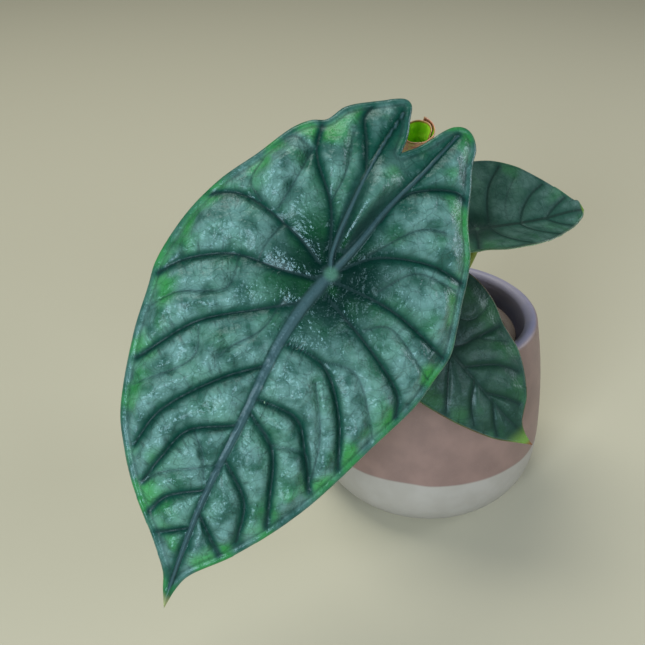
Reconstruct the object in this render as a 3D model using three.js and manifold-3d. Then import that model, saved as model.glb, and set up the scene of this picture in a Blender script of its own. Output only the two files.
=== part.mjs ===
// Potted alocasia: a small tropical foliage plant in a two-tone stoneware cover pot.
// Millimetres, +Z up, the pot's foot stands on z = 0 with its centre at the origin.
import * as THREE from 'three';
import { mergeVertices } from 'three/addons/utils/BufferGeometryUtils.js';
import Module from 'manifold-3d';

const wasm = await Module();
wasm.setup();

// ---------------------------------------------------------------- driving dimensions
const GAP = 0.3;                  // clearance left between neighbouring pieces

const POT_HEIGHT = 76;
const POT_RADIUS = 45;            // widest, in the lower third
const POT_WIDEST_Z = 25;
const POT_FOOT_RADIUS = 32.5;
const POT_LIP_RADIUS = 39.6;
const POT_WALL = 5;
const POT_FLOOR = 7;
const POT_BOWL_POWER = 1.35;      // how square the lower curve is
const POT_SEGMENTS = 48;

const LINER_TOP_Z = 67.5;         // nursery pot standing inside the cover pot
const LINER_RIM_RADIUS = 32.6;
const LINER_TOP_RADIUS = 30.2;
const LINER_BASE_RADIUS = 23;
const LINER_WALL = 0.9;
const LINER_RIM_HEIGHT = 5;
const LINER_HOLE_RADIUS = 3;
const LINER_HOLE_COUNT = 5;
const LINER_HOLE_CIRCLE = 14;
const LINER_SEGMENTS = 36;

const SOIL_TOP_Z = 59;
const SOIL_CROWN = 1.2;           // the mix is a little higher in the middle

const STEM_RADIUS = 8;            // short rhizome that every leaf stalk grows from
const STEM_BOTTOM_Z = 41;
const STEM_TOP_Z = 65;
const STALK_BASE_Z = STEM_TOP_Z - 3;  // the stalks spring from the stem's rounded top
const ROOT_RADIUS = 1.5;
const ROOT_TIP_RADIUS = 0.7;
const ROOT_COUNT = 6;

const BLADE_THICKNESS = 1.1;
const BLADE_SPOKES_PER_SIDE = 22;
const BLADE_RINGS = 5;
const BLADE_INNER_RING = 0.04;     // the ring around the stalk joint, as part of the whole
const STALK_SIDES = 10;
const STALK_RINGS = 12;
const ROOT_SIDES = 7;
const ROOT_RINGS = 6;

// ---------------------------------------------------------------- materials
const material = (color, roughness) => new THREE.MeshStandardMaterial({
  color, roughness, metalness: 0,
});
const FINISH = {
  stoneware: () => material('#a08880', 0.6),
  linerPlastic: () => material('#5d5048', 0.7),
  pottingMix: () => material('#3a2a20', 0.95),
  stem: () => material('#6d5a3c', 0.8),
  leaf: () => material('#3d6b5c', 0.4),
  stalk: () => material('#7d9a3e', 0.5),
  youngLeaf: () => material('#5f8f1c', 0.45),
  cataphyll: () => material('#a9865a', 0.85),
  bark: () => material('#6a4426', 0.9),
  perlite: () => material('#e4e0d6', 0.95),
};

// ---------------------------------------------------------------- solids and booleans
const toSolid = (geometry) => {
  const bare = geometry.clone();
  bare.deleteAttribute('normal');
  bare.deleteAttribute('uv');
  const merged = mergeVertices(bare, 1e-4);
  return new wasm.Manifold(new wasm.Mesh({
    numProp: 3,
    vertProperties: new Float32Array(merged.attributes.position.array),
    triVerts: new Uint32Array(merged.index.array),
  }));
};

const toGeometry = (solid) => {
  const mesh = solid.getMesh();
  const geometry = new THREE.BufferGeometry();
  geometry.setAttribute('position', new THREE.BufferAttribute(mesh.vertProperties, 3));
  geometry.setIndex(new THREE.BufferAttribute(mesh.triVerts, 1));
  geometry.computeVertexNormals();
  return geometry;
};

const vec = (x, y, z) => new THREE.Vector3(x, y, z);

// A grid of points as one closed skin. rows[i][j] walks the skin; each row is a closed loop,
// and the first and last rows are closed by a fan around their own middle point.
const skinFromLoops = (rows) => {
  const positions = [];
  const index = [];
  const loop = rows[0].length;
  rows.flat().forEach((p) => positions.push(p.x, p.y, p.z));
  for (let i = 0; i + 1 < rows.length; i += 1) {
    for (let j = 0; j < loop; j += 1) {
      const a = i * loop + j;
      const b = i * loop + ((j + 1) % loop);
      index.push(a, b, b + loop, a, b + loop, a + loop);
    }
  }
  const cap = (row, first, flip) => {
    const middle = row.reduce((sum, p) => sum.add(p), vec(0, 0, 0)).divideScalar(loop);
    const m = positions.length / 3;
    positions.push(middle.x, middle.y, middle.z);
    for (let j = 0; j < loop; j += 1) {
      const a = first + j;
      const b = first + ((j + 1) % loop);
      index.push(...(flip ? [m, b, a] : [m, a, b]));
    }
  };
  cap(rows[0], 0, true);
  cap(rows.at(-1), (rows.length - 1) * loop, false);
  const geometry = new THREE.BufferGeometry();
  geometry.setAttribute('position', new THREE.Float32BufferAttribute(positions, 3));
  geometry.setIndex(index);
  geometry.computeVertexNormals();
  return geometry;
};

const lathe = (profile, segments) => {
  const points = profile.map(([r, z]) => new THREE.Vector2(r, z));
  return new THREE.LatheGeometry(points, segments).rotateX(Math.PI / 2);
};

// A round stalk along a smooth curve, tapering from one radius to the other.
const stalkGeometry = (
  route, baseRadius, tipRadius, rings = STALK_RINGS, sides = STALK_SIDES,
) => {
  const curve = new THREE.CatmullRomCurve3(route.map((p) => vec(...p)), false, 'centripetal');
  const frames = curve.computeFrenetFrames(rings, false);
  const rows = [];
  for (let i = 0; i <= rings; i += 1) {
    const along = i / rings;
    const centre = curve.getPointAt(along);
    const radius = THREE.MathUtils.lerp(baseRadius, tipRadius, along);
    const row = [];
    for (let j = 0; j < sides; j += 1) {
      const angle = (2 * Math.PI * j) / sides;
      row.push(centre.clone()
        .addScaledVector(frames.normals[i], radius * Math.cos(angle))
        .addScaledVector(frames.binormals[i], radius * Math.sin(angle)));
    }
    rows.push(row);
  }
  return skinFromLoops(rows);
};

// ---------------------------------------------------------------- pots
// Outer wall: a rounded bowl up to the widest ring, then a slow taper to the lip.
const potWallRadius = (z) => {
  if (z < POT_WIDEST_Z) {
    const drop = 1 - z / POT_WIDEST_Z;
    const bulge = (1 - drop ** (POT_BOWL_POWER + 1)) ** (1 / POT_BOWL_POWER);
    return THREE.MathUtils.lerp(POT_FOOT_RADIUS, POT_RADIUS, bulge);
  }
  const rise = (z - POT_WIDEST_Z) / (POT_HEIGHT - POT_WIDEST_Z);
  return POT_RADIUS + (POT_LIP_RADIUS - POT_RADIUS) * rise ** 2;
};

const coverPot = () => {
  const outside = [];
  const inside = [];
  const lipRound = POT_WALL / 2;
  const lipZ = POT_HEIGHT - lipRound;
  const outerSteps = 11;
  for (let i = 0; i <= outerSteps; i += 1) {
    const z = lipZ * (i / outerSteps) ** 1.3;
    outside.push([potWallRadius(z), z]);
  }
  const lipCentre = potWallRadius(lipZ) - lipRound;
  const lip = [36, 72, 108, 144].map((degrees) => {
    const angle = THREE.MathUtils.degToRad(degrees);
    return [lipCentre + lipRound * Math.cos(angle), lipZ + lipRound * Math.sin(angle)];
  });
  const innerSteps = 5;
  for (let i = 0; i <= innerSteps; i += 1) {
    const z = THREE.MathUtils.lerp(lipZ, POT_FLOOR + 4, i / innerSteps);
    inside.push([potWallRadius(z) - POT_WALL, z]);
  }
  inside.push([potWallRadius(POT_FLOOR + 1) - POT_WALL - 2, POT_FLOOR + 1]);
  inside.push([POT_FOOT_RADIUS - 3, POT_FLOOR]);
  return lathe([[0, 0], ...outside, ...lip, ...inside, [0, POT_FLOOR]], POT_SEGMENTS);
};

const linerRadius = (z) => THREE.MathUtils.mapLinear(
  z, POT_FLOOR, LINER_TOP_Z, LINER_BASE_RADIUS, LINER_TOP_RADIUS,
);

const nurseryPot = () => {
  const base = POT_FLOOR + GAP;
  const rimUnder = LINER_TOP_Z - LINER_RIM_HEIGHT;
  const shell = toSolid(lathe([
    [0, base],
    [linerRadius(base), base],
    [linerRadius(rimUnder), rimUnder],
    [LINER_RIM_RADIUS, rimUnder],
    [LINER_RIM_RADIUS, LINER_TOP_Z],
    [linerRadius(LINER_TOP_Z) - LINER_WALL, LINER_TOP_Z],
    [linerRadius(base) - LINER_WALL, base + LINER_WALL],
    [0, base + LINER_WALL],
  ], LINER_SEGMENTS));
  const drain = new THREE.CylinderGeometry(LINER_HOLE_RADIUS, LINER_HOLE_RADIUS, 6, 20)
    .rotateX(Math.PI / 2);
  let pierced = shell;
  for (let i = 0; i < LINER_HOLE_COUNT; i += 1) {
    const angle = (2 * Math.PI * i) / LINER_HOLE_COUNT;
    pierced = pierced.subtract(toSolid(drain.clone().translate(
      LINER_HOLE_CIRCLE * Math.cos(angle), LINER_HOLE_CIRCLE * Math.sin(angle), base,
    )));
  }
  return toGeometry(pierced);
};

// ---------------------------------------------------------------- stem, roots and mix
// grow adds the same clearance to the stem and every root, for the hollow they fill.
const stemAndRoots = (grow) => {
  const bottom = STEM_BOTTOM_Z - grow;
  const top = STEM_TOP_Z + grow;
  const radius = STEM_RADIUS + grow;
  let solid = toSolid(lathe([
    [0, bottom],
    [radius * 0.62, bottom + 1],
    [radius, bottom + 7],
    [radius * 0.94, top - 6],
    [radius * 0.6, top - 1.4],
    [0, top],
  ], 18));
  for (let i = 0; i < ROOT_COUNT; i += 1) {
    const angle = (2 * Math.PI * i) / ROOT_COUNT + 0.3;
    const reach = 15 + 3 * (i % 2);
    const depth = 18 + 4 * (i % 3);
    const out = (r, z, turn = 0) => [
      r * Math.cos(angle + turn), r * Math.sin(angle + turn), z,
    ];
    const route = [
      out(5, STEM_BOTTOM_Z + 5),
      out(11, STEM_BOTTOM_Z + 1, 0.1),
      out(reach, STEM_BOTTOM_Z - 8, 0.3),
      out(reach - 1, depth - grow, 0.55),
    ];
    solid = solid.add(toSolid(stalkGeometry(
      route, ROOT_RADIUS + grow, ROOT_TIP_RADIUS + grow, ROOT_RINGS, ROOT_SIDES,
    )));
  }
  return solid;
};

const pottingMix = () => {
  const base = POT_FLOOR + GAP + LINER_WALL + GAP;
  const inner = (z) => linerRadius(z) - LINER_WALL - GAP;
  const fill = toSolid(lathe([
    [0, base],
    [inner(base), base],
    [inner(SOIL_TOP_Z - 1), SOIL_TOP_Z - 1],
    [inner(SOIL_TOP_Z) - 6, SOIL_TOP_Z],
    [0, SOIL_TOP_Z + SOIL_CROWN],
  ], LINER_SEGMENTS));
  return toGeometry(fill.subtract(stemAndRoots(GAP)));
};

// ---------------------------------------------------------------- leaf blades
// A blade lies about its stalk joint: u runs along the midrib to the tip, v to the right of it
// as seen from above the leaf, and height is measured along the blade's own normal.
// left and right are its margins from the notch between the lobes round to the tip.
const FRONT_LEAF = {
  joint: [-39.5, -86, 136],
  midrib: [-0.4846, -0.4759, -0.7339],
  normal: [0.0598, -0.8551, 0.515],
  left: [
    [-39.5, 1], [-49, -1.2], [-53.8, -4.8], [-50, -11.5], [-43.5, -19], [-37.8, -22],
    [-31.5, -28.8], [-20, -34], [-8, -40], [5, -43.6], [20, -44.4], [41, -40],
    [61, -32.6], [77, -20], [88.5, -6.8], [95, -0.4], [99.5, 2], [104.5, 5],
  ],
  right: [
    [-39.5, 1], [-43.6, 4.3], [-48, 6.8], [-54.2, 10.6], [-55.4, 14.5], [-52, 19],
    [-41, 23.3], [-32, 27], [-24, 32.4], [-12, 36.6], [3, 41.2], [19, 39.6], [36, 34.2],
    [61, 25.6], [81, 15], [92.7, 6.6], [98, 5.2], [104.5, 5],
  ],
  height: (u, v) => -(v ** 2) / 190 - u ** 2 / (u < 0 ? 360 : 840),
};

const UPPER_LEAF = {
  joint: [13, -9, 113],
  midrib: [0.974, 0.213, 0.073],
  normal: [0, -0.326, 0.946],
  left: [
    [-13, 0], [-18.5, -3.5], [-20.5, -8], [-17, -12.6], [-9, -15], [-3, -15.4],
    [3, -17.3], [10, -17.6], [17, -16.2], [26, -11.2], [37, -2], [42.4, 2.8], [44, 5.6],
  ],
  right: [
    [-13, 0], [-19, 4], [-22, 9.5], [-19, 16], [-11, 21.6], [0, 24], [10, 24.2],
    [21, 21.3], [29.5, 16.8], [36, 12.6], [41.2, 9], [44, 5.6],
  ],
  height: (u, v) => 0.48 * (Math.hypot(v, 3) - 3) - u ** 2 / 300,
};

const LOWER_LEAF = {
  joint: [-3, -40, 88],
  midrib: [0.653, -0.381, -0.655],
  normal: [0.059, -0.837, 0.545],
  left: [
    [-14, 0], [-19.5, -4], [-22, -9], [-18.5, -15], [-9, -19.8], [3, -21.2], [14, -18.8],
    [27.5, -14.1], [40.6, -7.3], [47, -2], [51.6, 1.8],
  ],
  right: [
    [-14, 0], [-20, 4], [-23, 10], [-20, 17], [-13, 22], [-5, 24.2], [3.6, 23.8],
    [12.5, 21], [24, 18.7], [36, 11.6], [42.5, 3.9], [46.2, 2.2], [51.6, 1.8],
  ],
  height: (u, v) => -(v ** 2) / 140 - u ** 2 / (u < 0 ? 240 : 320),
};

const margin = (leaf) => {
  const side = (points) => new THREE.CatmullRomCurve3(
    points.map(([u, v]) => vec(u, v, 0)), false, 'centripetal',
  ).getPoints(BLADE_SPOKES_PER_SIDE);
  const left = side(leaf.left);
  const right = side(leaf.right).reverse();
  return [...left.slice(0, -1), ...right.slice(0, -1)];
};

const bladeFrame = (leaf) => {
  const along = vec(...leaf.midrib).normalize();
  const across = vec(...leaf.normal).cross(along).normalize();
  const up = along.clone().cross(across);
  return new THREE.Matrix4().makeBasis(along, across, up).setPosition(...leaf.joint);
};

// Rings of the margin shrunk towards the stalk joint, first the underside, then the top.
const bladeGeometry = (leaf) => {
  const edge = margin(leaf);
  const ring = (scale, lift) => edge.map((p) => {
    const u = p.x * scale;
    const v = p.y * scale;
    return vec(u, v, leaf.height(u, v) + lift);
  });
  const scales = Array.from({ length: BLADE_RINGS },
    (_, i) => Math.max(BLADE_INNER_RING, i / (BLADE_RINGS - 1)));
  const under = scales.map((s) => ring(s, -BLADE_THICKNESS / 2));
  const over = scales.map((s) => ring(s, BLADE_THICKNESS / 2)).reverse();
  return skinFromLoops([...under, ...over]).applyMatrix4(bladeFrame(leaf));
};

// The stalk runs from the stem to just under the blade at its joint.
const petioleGeometry = (leaf, route, baseRadius, tipRadius) => {
  const frame = bladeFrame(leaf);
  const below = (distance) => vec(0, 0, -distance).applyMatrix4(frame).toArray();
  const full = stalkGeometry([...route, below(9), below(BLADE_THICKNESS / 2 + 2 * GAP)],
    baseRadius, tipRadius);
  return toGeometry(toSolid(full).subtract(stemAndRoots(GAP)));
};

// ---------------------------------------------------------------- rolled and curved sheets
// A sheet bent around an axis: radius, height and turn are functions of two running values,
// turn 0..1 around the sheet and rise 0..1 up it.
const bentSheet = ({ around, up, thickness, point }) => {
  const row = (rise) => {
    const inner = [];
    const outer = [];
    for (let i = 0; i <= around; i += 1) {
      outer.push(point(i / around, rise, thickness / 2));
      inner.push(point(i / around, rise, -thickness / 2));
    }
    return [...outer, ...inner.reverse()];
  };
  const rows = Array.from({ length: up + 1 }, (_, i) => row(i / up));
  const positions = rows.flat().flatMap((p) => [p.x, p.y, p.z]);
  const loop = rows[0].length;
  const index = [];
  for (let i = 0; i < up; i += 1) {
    for (let j = 0; j < loop; j += 1) {
      const a = i * loop + j;
      const b = i * loop + ((j + 1) % loop);
      index.push(a, b, b + loop, a, b + loop, a + loop);
    }
  }
  for (let j = 0; j < around; j += 1) {
    const opposite = loop - 1 - j;
    const top = up * loop;
    index.push(j, opposite, opposite - 1, j, opposite - 1, j + 1);
    index.push(top + j, top + opposite - 1, top + opposite, top + j, top + j + 1,
      top + opposite - 1);
  }
  const geometry = new THREE.BufferGeometry();
  geometry.setAttribute('position', new THREE.Float32BufferAttribute(positions, 3));
  geometry.setIndex(index);
  geometry.computeVertexNormals();
  return geometry;
};

// The newest leaf is still rolled up: a narrow funnel with one edge lapped over the other.
const ROLL_FOOT = [-17, -29, 131];
const ROLL_MOUTH = [-13.9, -47, 162.8];
const ROLL_FOOT_RADIUS = 1.6;
const ROLL_MOUTH_RADIUS = 3.9;
const ROLL_LAP = 1.2;             // how far the outer edge stands off the inner one
const ROLL_TURNS = 1.22;
const ROLL_START = 1.22;          // angle of the inner edge, in radians round the roll from in front
const ROLL_SLANT = 0.9;           // how far the mouth's highest side stands up
const ROLL_SLANT_ANGLE = 1;       // where that side is: in front and to the right

const youngLeaf = () => {
  const foot = vec(...ROLL_FOOT);
  const axis = vec(...ROLL_MOUTH).sub(foot);
  const length = axis.length();
  axis.normalize();
  const sideways = vec(0, 0, 1).cross(axis).normalize();
  const forward = sideways.clone().cross(axis);
  return bentSheet({
    around: 26,
    up: 5,
    thickness: 0.55,
    point: (turn, rise, lift) => {
      const angle = 2 * Math.PI * ROLL_TURNS * turn + ROLL_START;
      const open = THREE.MathUtils.lerp(ROLL_FOOT_RADIUS, ROLL_MOUTH_RADIUS, rise ** 0.8);
      const radius = open + ROLL_LAP * turn * (0.35 + 0.65 * rise) + lift;
      const slant = ROLL_SLANT * rise * Math.cos(angle - ROLL_SLANT_ANGLE);
      return foot.clone()
        .addScaledVector(axis, length * rise + slant)
        .addScaledVector(sideways, radius * Math.sin(angle))
        .addScaledVector(forward, radius * Math.cos(angle));
    },
  });
};

const cataphyll = ({ from, sweep, radius, height, flare }) => bentSheet({
  around: 8,
  up: 4,
  thickness: 0.6,
  point: (turn, rise, lift) => {
    const narrow = 1 - 0.8 * rise ** 2;
    const angle = THREE.MathUtils.degToRad(from + sweep * (0.5 + (turn - 0.5) * narrow));
    const out = radius + flare * rise ** 2 + lift;
    const z = SOIL_TOP_Z + SOIL_CROWN + GAP + height * rise;
    return vec(out * Math.cos(angle), out * Math.sin(angle), z);
  },
});

// ---------------------------------------------------------------- pieces on the mix
// A knobbly lump: a ball pushed in and out by a few waves, then flattened.
const lump = ([x, y], [a, b, c], spin, detail) => {
  const ball = mergeVertices(new THREE.IcosahedronGeometry(1, detail)
    .deleteAttribute('normal').deleteAttribute('uv'), 1e-4);
  const place = ball.attributes.position;
  for (let i = 0; i < place.count; i += 1) {
    const p = vec().fromBufferAttribute(place, i);
    p.multiplyScalar(1 + 0.13 * Math.sin(5 * p.x + spin) * Math.cos(4 * p.y - spin));
    place.setXYZ(i, a * p.x, b * p.y, c * p.z);
  }
  const slope = SOIL_TOP_Z + SOIL_CROWN * Math.max(0, 1 - Math.hypot(x, y) / 22);
  ball.rotateZ(spin).translate(x, y, slope + c * 1.13 + GAP);
  ball.computeVertexNormals();
  return ball;
};

const BARK = [
  { at: [19, 6], size: [4.2, 2.4, 1.3] },
  { at: [15, -14], size: [3.6, 2.6, 1.2] },
  { at: [-19, -9], size: [4.6, 2.2, 1.4] },
  { at: [-14, 17], size: [3.8, 2.8, 1.3] },
  { at: [6, 21], size: [4.4, 2.5, 1.2] },
];
const PERLITE = [[22, -3], [9, -20], [-8, -21], [-22, 5], [-4, 16]];
const PERLITE_RADIUS = 1.4;

// ---------------------------------------------------------------- the assembly
const group = new THREE.Group();
group.name = 'potted_alocasia';

const place = (name, geometry, finish) => {
  const mesh = new THREE.Mesh(geometry, FINISH[finish]());
  mesh.name = name;
  group.add(mesh);
};

place('cover_pot', coverPot(), 'stoneware');
place('nursery_pot', nurseryPot(), 'linerPlastic');
place('potting_mix', pottingMix(), 'pottingMix');
place('rhizome_and_roots', toGeometry(stemAndRoots(0)), 'stem');

place('front_leaf_blade', bladeGeometry(FRONT_LEAF), 'leaf');
place('front_leaf_petiole', petioleGeometry(FRONT_LEAF, [
  [-4.5, -2.6, STALK_BASE_Z], [-7, -4.5, 73], [-19, -15, 96], [-28, -36, 116],
], 3.3, 2.2), 'stalk');
place('upper_leaf_blade', bladeGeometry(UPPER_LEAF), 'leaf');
place('upper_leaf_petiole', petioleGeometry(UPPER_LEAF, [
  [4.6, -0.6, STALK_BASE_Z], [5.6, -1.2, 72], [9, -5, 92],
], 2.4, 1.6), 'stalk');
place('lower_leaf_blade', bladeGeometry(LOWER_LEAF), 'leaf');
place('lower_leaf_petiole', petioleGeometry(LOWER_LEAF, [
  [0.4, -4.8, STALK_BASE_Z], [0, -8.5, 70], [-1, -20, 79.5],
], 2.3, 1.6), 'stalk');

place('young_leaf', youngLeaf(), 'youngLeaf');
const rollAxis = vec(...ROLL_MOUTH).sub(vec(...ROLL_FOOT)).normalize();
const rollSeat = vec(...ROLL_FOOT).addScaledVector(rollAxis, -GAP).toArray();
const youngStalk = stalkGeometry([
  [-2.6, 4.2, STALK_BASE_Z], [-4, 4, 72], [-13, -2, 96], [-18, -18, 114], rollSeat,
], 2.3, 1.6);
place('young_leaf_petiole', toGeometry(toSolid(youngStalk).subtract(stemAndRoots(GAP))),
  'stalk');

place('back_cataphyll', cataphyll({
  from: 15, sweep: 80, radius: 9.3, height: 22, flare: 1.5,
}), 'cataphyll');
place('side_cataphyll', cataphyll({
  from: 100, sweep: 62, radius: 10, height: 15, flare: 3,
}), 'cataphyll');

BARK.forEach(({ at, size }, i) => {
  place(`bark_chip_${i + 1}`, lump(at, size, 1 + i, 1), 'bark');
});
PERLITE.forEach((at, i) => {
  const radius = PERLITE_RADIUS + 0.2 * (i % 3);
  place(`perlite_grain_${i + 1}`, lump(at, [radius, radius * 0.9, radius * 0.8], 2 * i, 0),
    'perlite');
});

export default group;
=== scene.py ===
"""A young alocasia in a two-tone stoneware cover pot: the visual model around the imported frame.

The plant's classes are in millimetres, as the part's own source is, and are turned to metres where
a mesh is made. The pots and the mix are in metres, with their outer sizes from the frame.
"""

import logging
import math
from collections.abc import Callable, Iterator, Sequence
from contextlib import contextmanager
from dataclasses import dataclass, replace
from enum import Enum
from functools import cache, partial, reduce
import bpy
import numpy as np
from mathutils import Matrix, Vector, noise


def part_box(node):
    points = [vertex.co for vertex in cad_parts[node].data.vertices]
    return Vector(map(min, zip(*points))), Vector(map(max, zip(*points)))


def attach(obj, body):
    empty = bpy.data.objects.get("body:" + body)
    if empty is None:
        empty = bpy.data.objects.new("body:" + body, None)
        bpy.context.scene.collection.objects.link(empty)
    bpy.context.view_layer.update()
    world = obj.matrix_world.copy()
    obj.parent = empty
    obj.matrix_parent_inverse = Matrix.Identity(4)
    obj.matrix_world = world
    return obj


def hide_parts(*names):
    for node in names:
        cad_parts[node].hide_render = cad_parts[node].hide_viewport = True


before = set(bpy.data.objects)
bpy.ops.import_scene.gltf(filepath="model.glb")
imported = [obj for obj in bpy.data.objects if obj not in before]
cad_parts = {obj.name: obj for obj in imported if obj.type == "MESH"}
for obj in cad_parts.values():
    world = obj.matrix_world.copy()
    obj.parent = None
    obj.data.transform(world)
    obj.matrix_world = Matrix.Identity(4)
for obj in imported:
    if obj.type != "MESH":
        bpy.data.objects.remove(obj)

log = logging.getLogger("potted_alocasia")

MM = 0.001
BODY = "root"
Point2 = tuple[float, float]
Point3 = tuple[float, float, float]
Socket = bpy.types.NodeSocket


class Face(Enum):
    """The two faces of a sheet, as stored in its face attribute."""

    UNDER = 0.0
    OVER = 1.0


class Kind(Enum):
    """The kinds of shader node: type, sockets filled in order, output that is read, settings."""

    PLACE = ("ShaderNodeTexCoord", (), "Object", {})
    READ = ("ShaderNodeAttribute", (), "Fac", {})
    JOIN = ("ShaderNodeCombineXYZ", (0, 1), 0, {})
    HEIGHT = ("ShaderNodeSeparateXYZ", (0,), 2, {})
    STRETCH = ("ShaderNodeMapping", ("Vector", "Scale"), 0, {})
    NOISE = ("ShaderNodeTexNoise", ("Vector", "Scale", "Detail"), 0, {})
    NET = ("ShaderNodeTexVoronoi", ("Vector", "Scale"), "Distance", {"feature": "DISTANCE_TO_EDGE"})
    DOMES = ("ShaderNodeTexVoronoi", ("Vector", "Scale"), "Distance", {"feature": "SMOOTH_F1"})
    BLEND = ("ShaderNodeMix", (0, 6, 7), 2, {"data_type": "RGBA"})
    FADE = ("ShaderNodeMapRange", (0, 1, 2, 3, 4), 0, {"interpolation_type": "SMOOTHSTEP"})
    TIMES = ("ShaderNodeMath", (0, 1), 0, {"operation": "MULTIPLY"})
    PLUS = ("ShaderNodeMath", (0, 1), 0, {"operation": "ADD"})
    RAISE = ("ShaderNodeBump", ("Strength", "Height", "Distance", "Normal"), 0, {})


# ---------------------------------------------------------------- small tools
@cache
def node_box(name: str) -> tuple[Point3, Point3]:
    """The low and high corners of a CAD node, in metres."""
    low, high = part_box(name)
    return tuple(low), tuple(high)


def colour(code: str) -> tuple[float, float, float, float]:
    """Turns an sRGB hex code to linear RGBA.

    Args:
        code: six hex digits after a hash.

    Returns:
        Linear red, green, blue and alpha 1.
    """
    parts = [int(code[i : i + 2], 16) / 255 for i in (1, 3, 5)]
    linear = [c / 12.92 if c <= 0.04045 else ((c + 0.055) / 1.055) ** 2.4 for c in parts]
    return (*linear, 1.0)


def add_node(
    tree: bpy.types.NodeTree, kind: Kind, *inputs: object, **settings: object
) -> Socket:
    """Adds one shader node.

    Args:
        tree: the material's node tree.
        kind: what the node does.
        *inputs: what its sockets take, in the kind's order, each a number, a vector, a hex colour,
            the output that feeds it, or None to leave it alone.
        **settings: further attributes of the node itself.

    Returns:
        The node's output.
    """
    type_name, sockets, output, fixed = kind.value
    node = tree.nodes.new(type_name)
    for name, value in {**fixed, **settings}.items():
        setattr(node, name, value)
    for key, value in zip(sockets, inputs, strict=False):
        if isinstance(value, Socket):
            tree.links.new(value, node.inputs[key])
        elif value is not None:
            node.inputs[key].default_value = colour(value) if isinstance(value, str) else value
    return node.outputs[output]


def per_metre(size_mm: float) -> float:
    """The texture scale that gives a pattern a real size."""
    return 1 / (size_mm * MM)


def pick(piece: bpy.types.Object) -> None:
    """Makes one piece the active one, with nothing else selected.

    Args:
        piece: the object.
    """
    bpy.ops.object.select_all(action="DESELECT")
    piece.select_set(True)
    bpy.context.view_layer.objects.active = piece


def start_piece(add: object, name: str, **where: object) -> bpy.types.Object:
    """Adds a primitive with nothing else selected.

    Args:
        add: the bpy operator that adds it.
        name: the piece's name.
        **where: the operator's size and place.

    Returns:
        The new object.
    """
    bpy.ops.object.select_all(action="DESELECT")
    add(**where)
    piece = bpy.context.object
    piece.name = piece.data.name = name
    return piece


@contextmanager
def editing(piece: bpy.types.Object) -> Iterator[None]:
    """Edit mode on one piece, for as long as the with block lasts.

    Args:
        piece: the object to edit.

    Yields:
        Nothing.
    """
    pick(piece)
    bpy.ops.object.mode_set(mode="EDIT")
    yield
    bpy.ops.object.mode_set(mode="OBJECT")


def face_outwards() -> None:
    """Turns every face of the piece being edited outwards."""
    bpy.ops.mesh.select_all(action="SELECT")
    bpy.ops.mesh.normals_make_consistent(inside=False)


def settle(piece: bpy.types.Object) -> None:
    """Moves a piece's place, turn and size into its mesh."""
    pick(piece)
    bpy.ops.object.transform_apply(location=True, rotation=True, scale=True)


def throw(name: str, segments: int, profile: Sequence[Point2]) -> bpy.types.Object:
    """Draws a round disc up along a profile, as clay is drawn up on a wheel.

    Args:
        name: the piece's name.
        segments: how many sides each ring has.
        profile: radius and height of each ring, from the disc's own rim on, in metres.

    Returns:
        The new closed piece, with its place in its mesh.
    """
    piece = start_piece(
        bpy.ops.mesh.primitive_circle_add, name, vertices=segments, radius=profile[0][0],
        fill_type="NGON", location=(0, 0, profile[0][1]),
    )
    with editing(piece):
        for (radius, height), (next_radius, next_height) in zip(profile, profile[1:], strict=False):
            bpy.ops.mesh.extrude_region_move(
                TRANSFORM_OT_translate={"value": (0, 0, next_height - height)}
            )
            grow = next_radius / radius
            bpy.ops.transform.resize(value=(grow, grow, 1))
        face_outwards()
    settle(piece)
    return piece


def line_run(line: np.ndarray) -> tuple[np.ndarray, np.ndarray]:
    """Measures a line of points.

    Args:
        line: the points, in order.

    Returns:
        The length of each step, and the length run up to each point.
    """
    steps = np.linalg.norm(np.diff(line, axis=0), axis=1)
    return steps, np.concatenate([[0.0], np.cumsum(steps)])


def smooth_curve(points: Sequence[Sequence[float]], count: int) -> np.ndarray:
    """Samples a centripetal Catmull-Rom curve at even distances.

    Args:
        points: the points that the curve passes through.
        count: how many samples to return.

    Returns:
        An array of count points.
    """
    given = np.asarray(points, float)
    p = np.vstack([2 * given[0] - given[1], given, 2 * given[-1] - given[-2]])
    gaps = np.linalg.norm(np.diff(p, axis=0), axis=1) ** 0.5
    knot = np.concatenate([[0.0], np.cumsum(gaps)])
    t = np.linspace(knot[1], knot[-2], 60 * len(given))
    i = np.clip(np.searchsorted(knot, t, side="right") - 1, 1, len(p) - 3)
    k = [knot[i + s] for s in (-1, 0, 1, 2)]
    q = [p[i + s] for s in (-1, 0, 1, 2)]

    def between(a: np.ndarray, b: np.ndarray, low: int, high: int) -> np.ndarray:
        """Blends two rows of points by where t lies between two knots."""
        w = ((t - k[low]) / (k[high] - k[low]))[:, None]
        return a * (1 - w) + b * w

    a1, a2, a3 = (between(q[j], q[j + 1], j, j + 1) for j in range(3))
    dense = between(between(a1, a2, 0, 2), between(a2, a3, 1, 3), 1, 2)
    _, run = line_run(dense)
    even = np.linspace(0, run[-1], count)
    return np.stack([np.interp(even, run, dense[:, c]) for c in range(p.shape[1])], axis=1)


def nearest_on(line: np.ndarray, points: np.ndarray) -> tuple[np.ndarray, np.ndarray]:
    """Finds how far points are from a line and where along it the nearest spot is.

    Args:
        line: the line's points, in order.
        points: the points to measure.

    Returns:
        Each point's distance, and the length of line up to its nearest spot.
    """
    steps, run = line_run(line)
    best = np.full(len(points), np.inf)
    along = np.zeros(len(points))
    for a, b, start, length in zip(line[:-1], line[1:], run[:-1], steps, strict=True):
        part = np.clip((points - a) @ (b - a) / length**2, 0, 1)
        far = np.hypot(*(points - a - part[:, None] * (b - a)).T)
        closer = far < best
        best[closer] = far[closer]
        along[closer] = start + part[closer] * length
    return best, along


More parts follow.
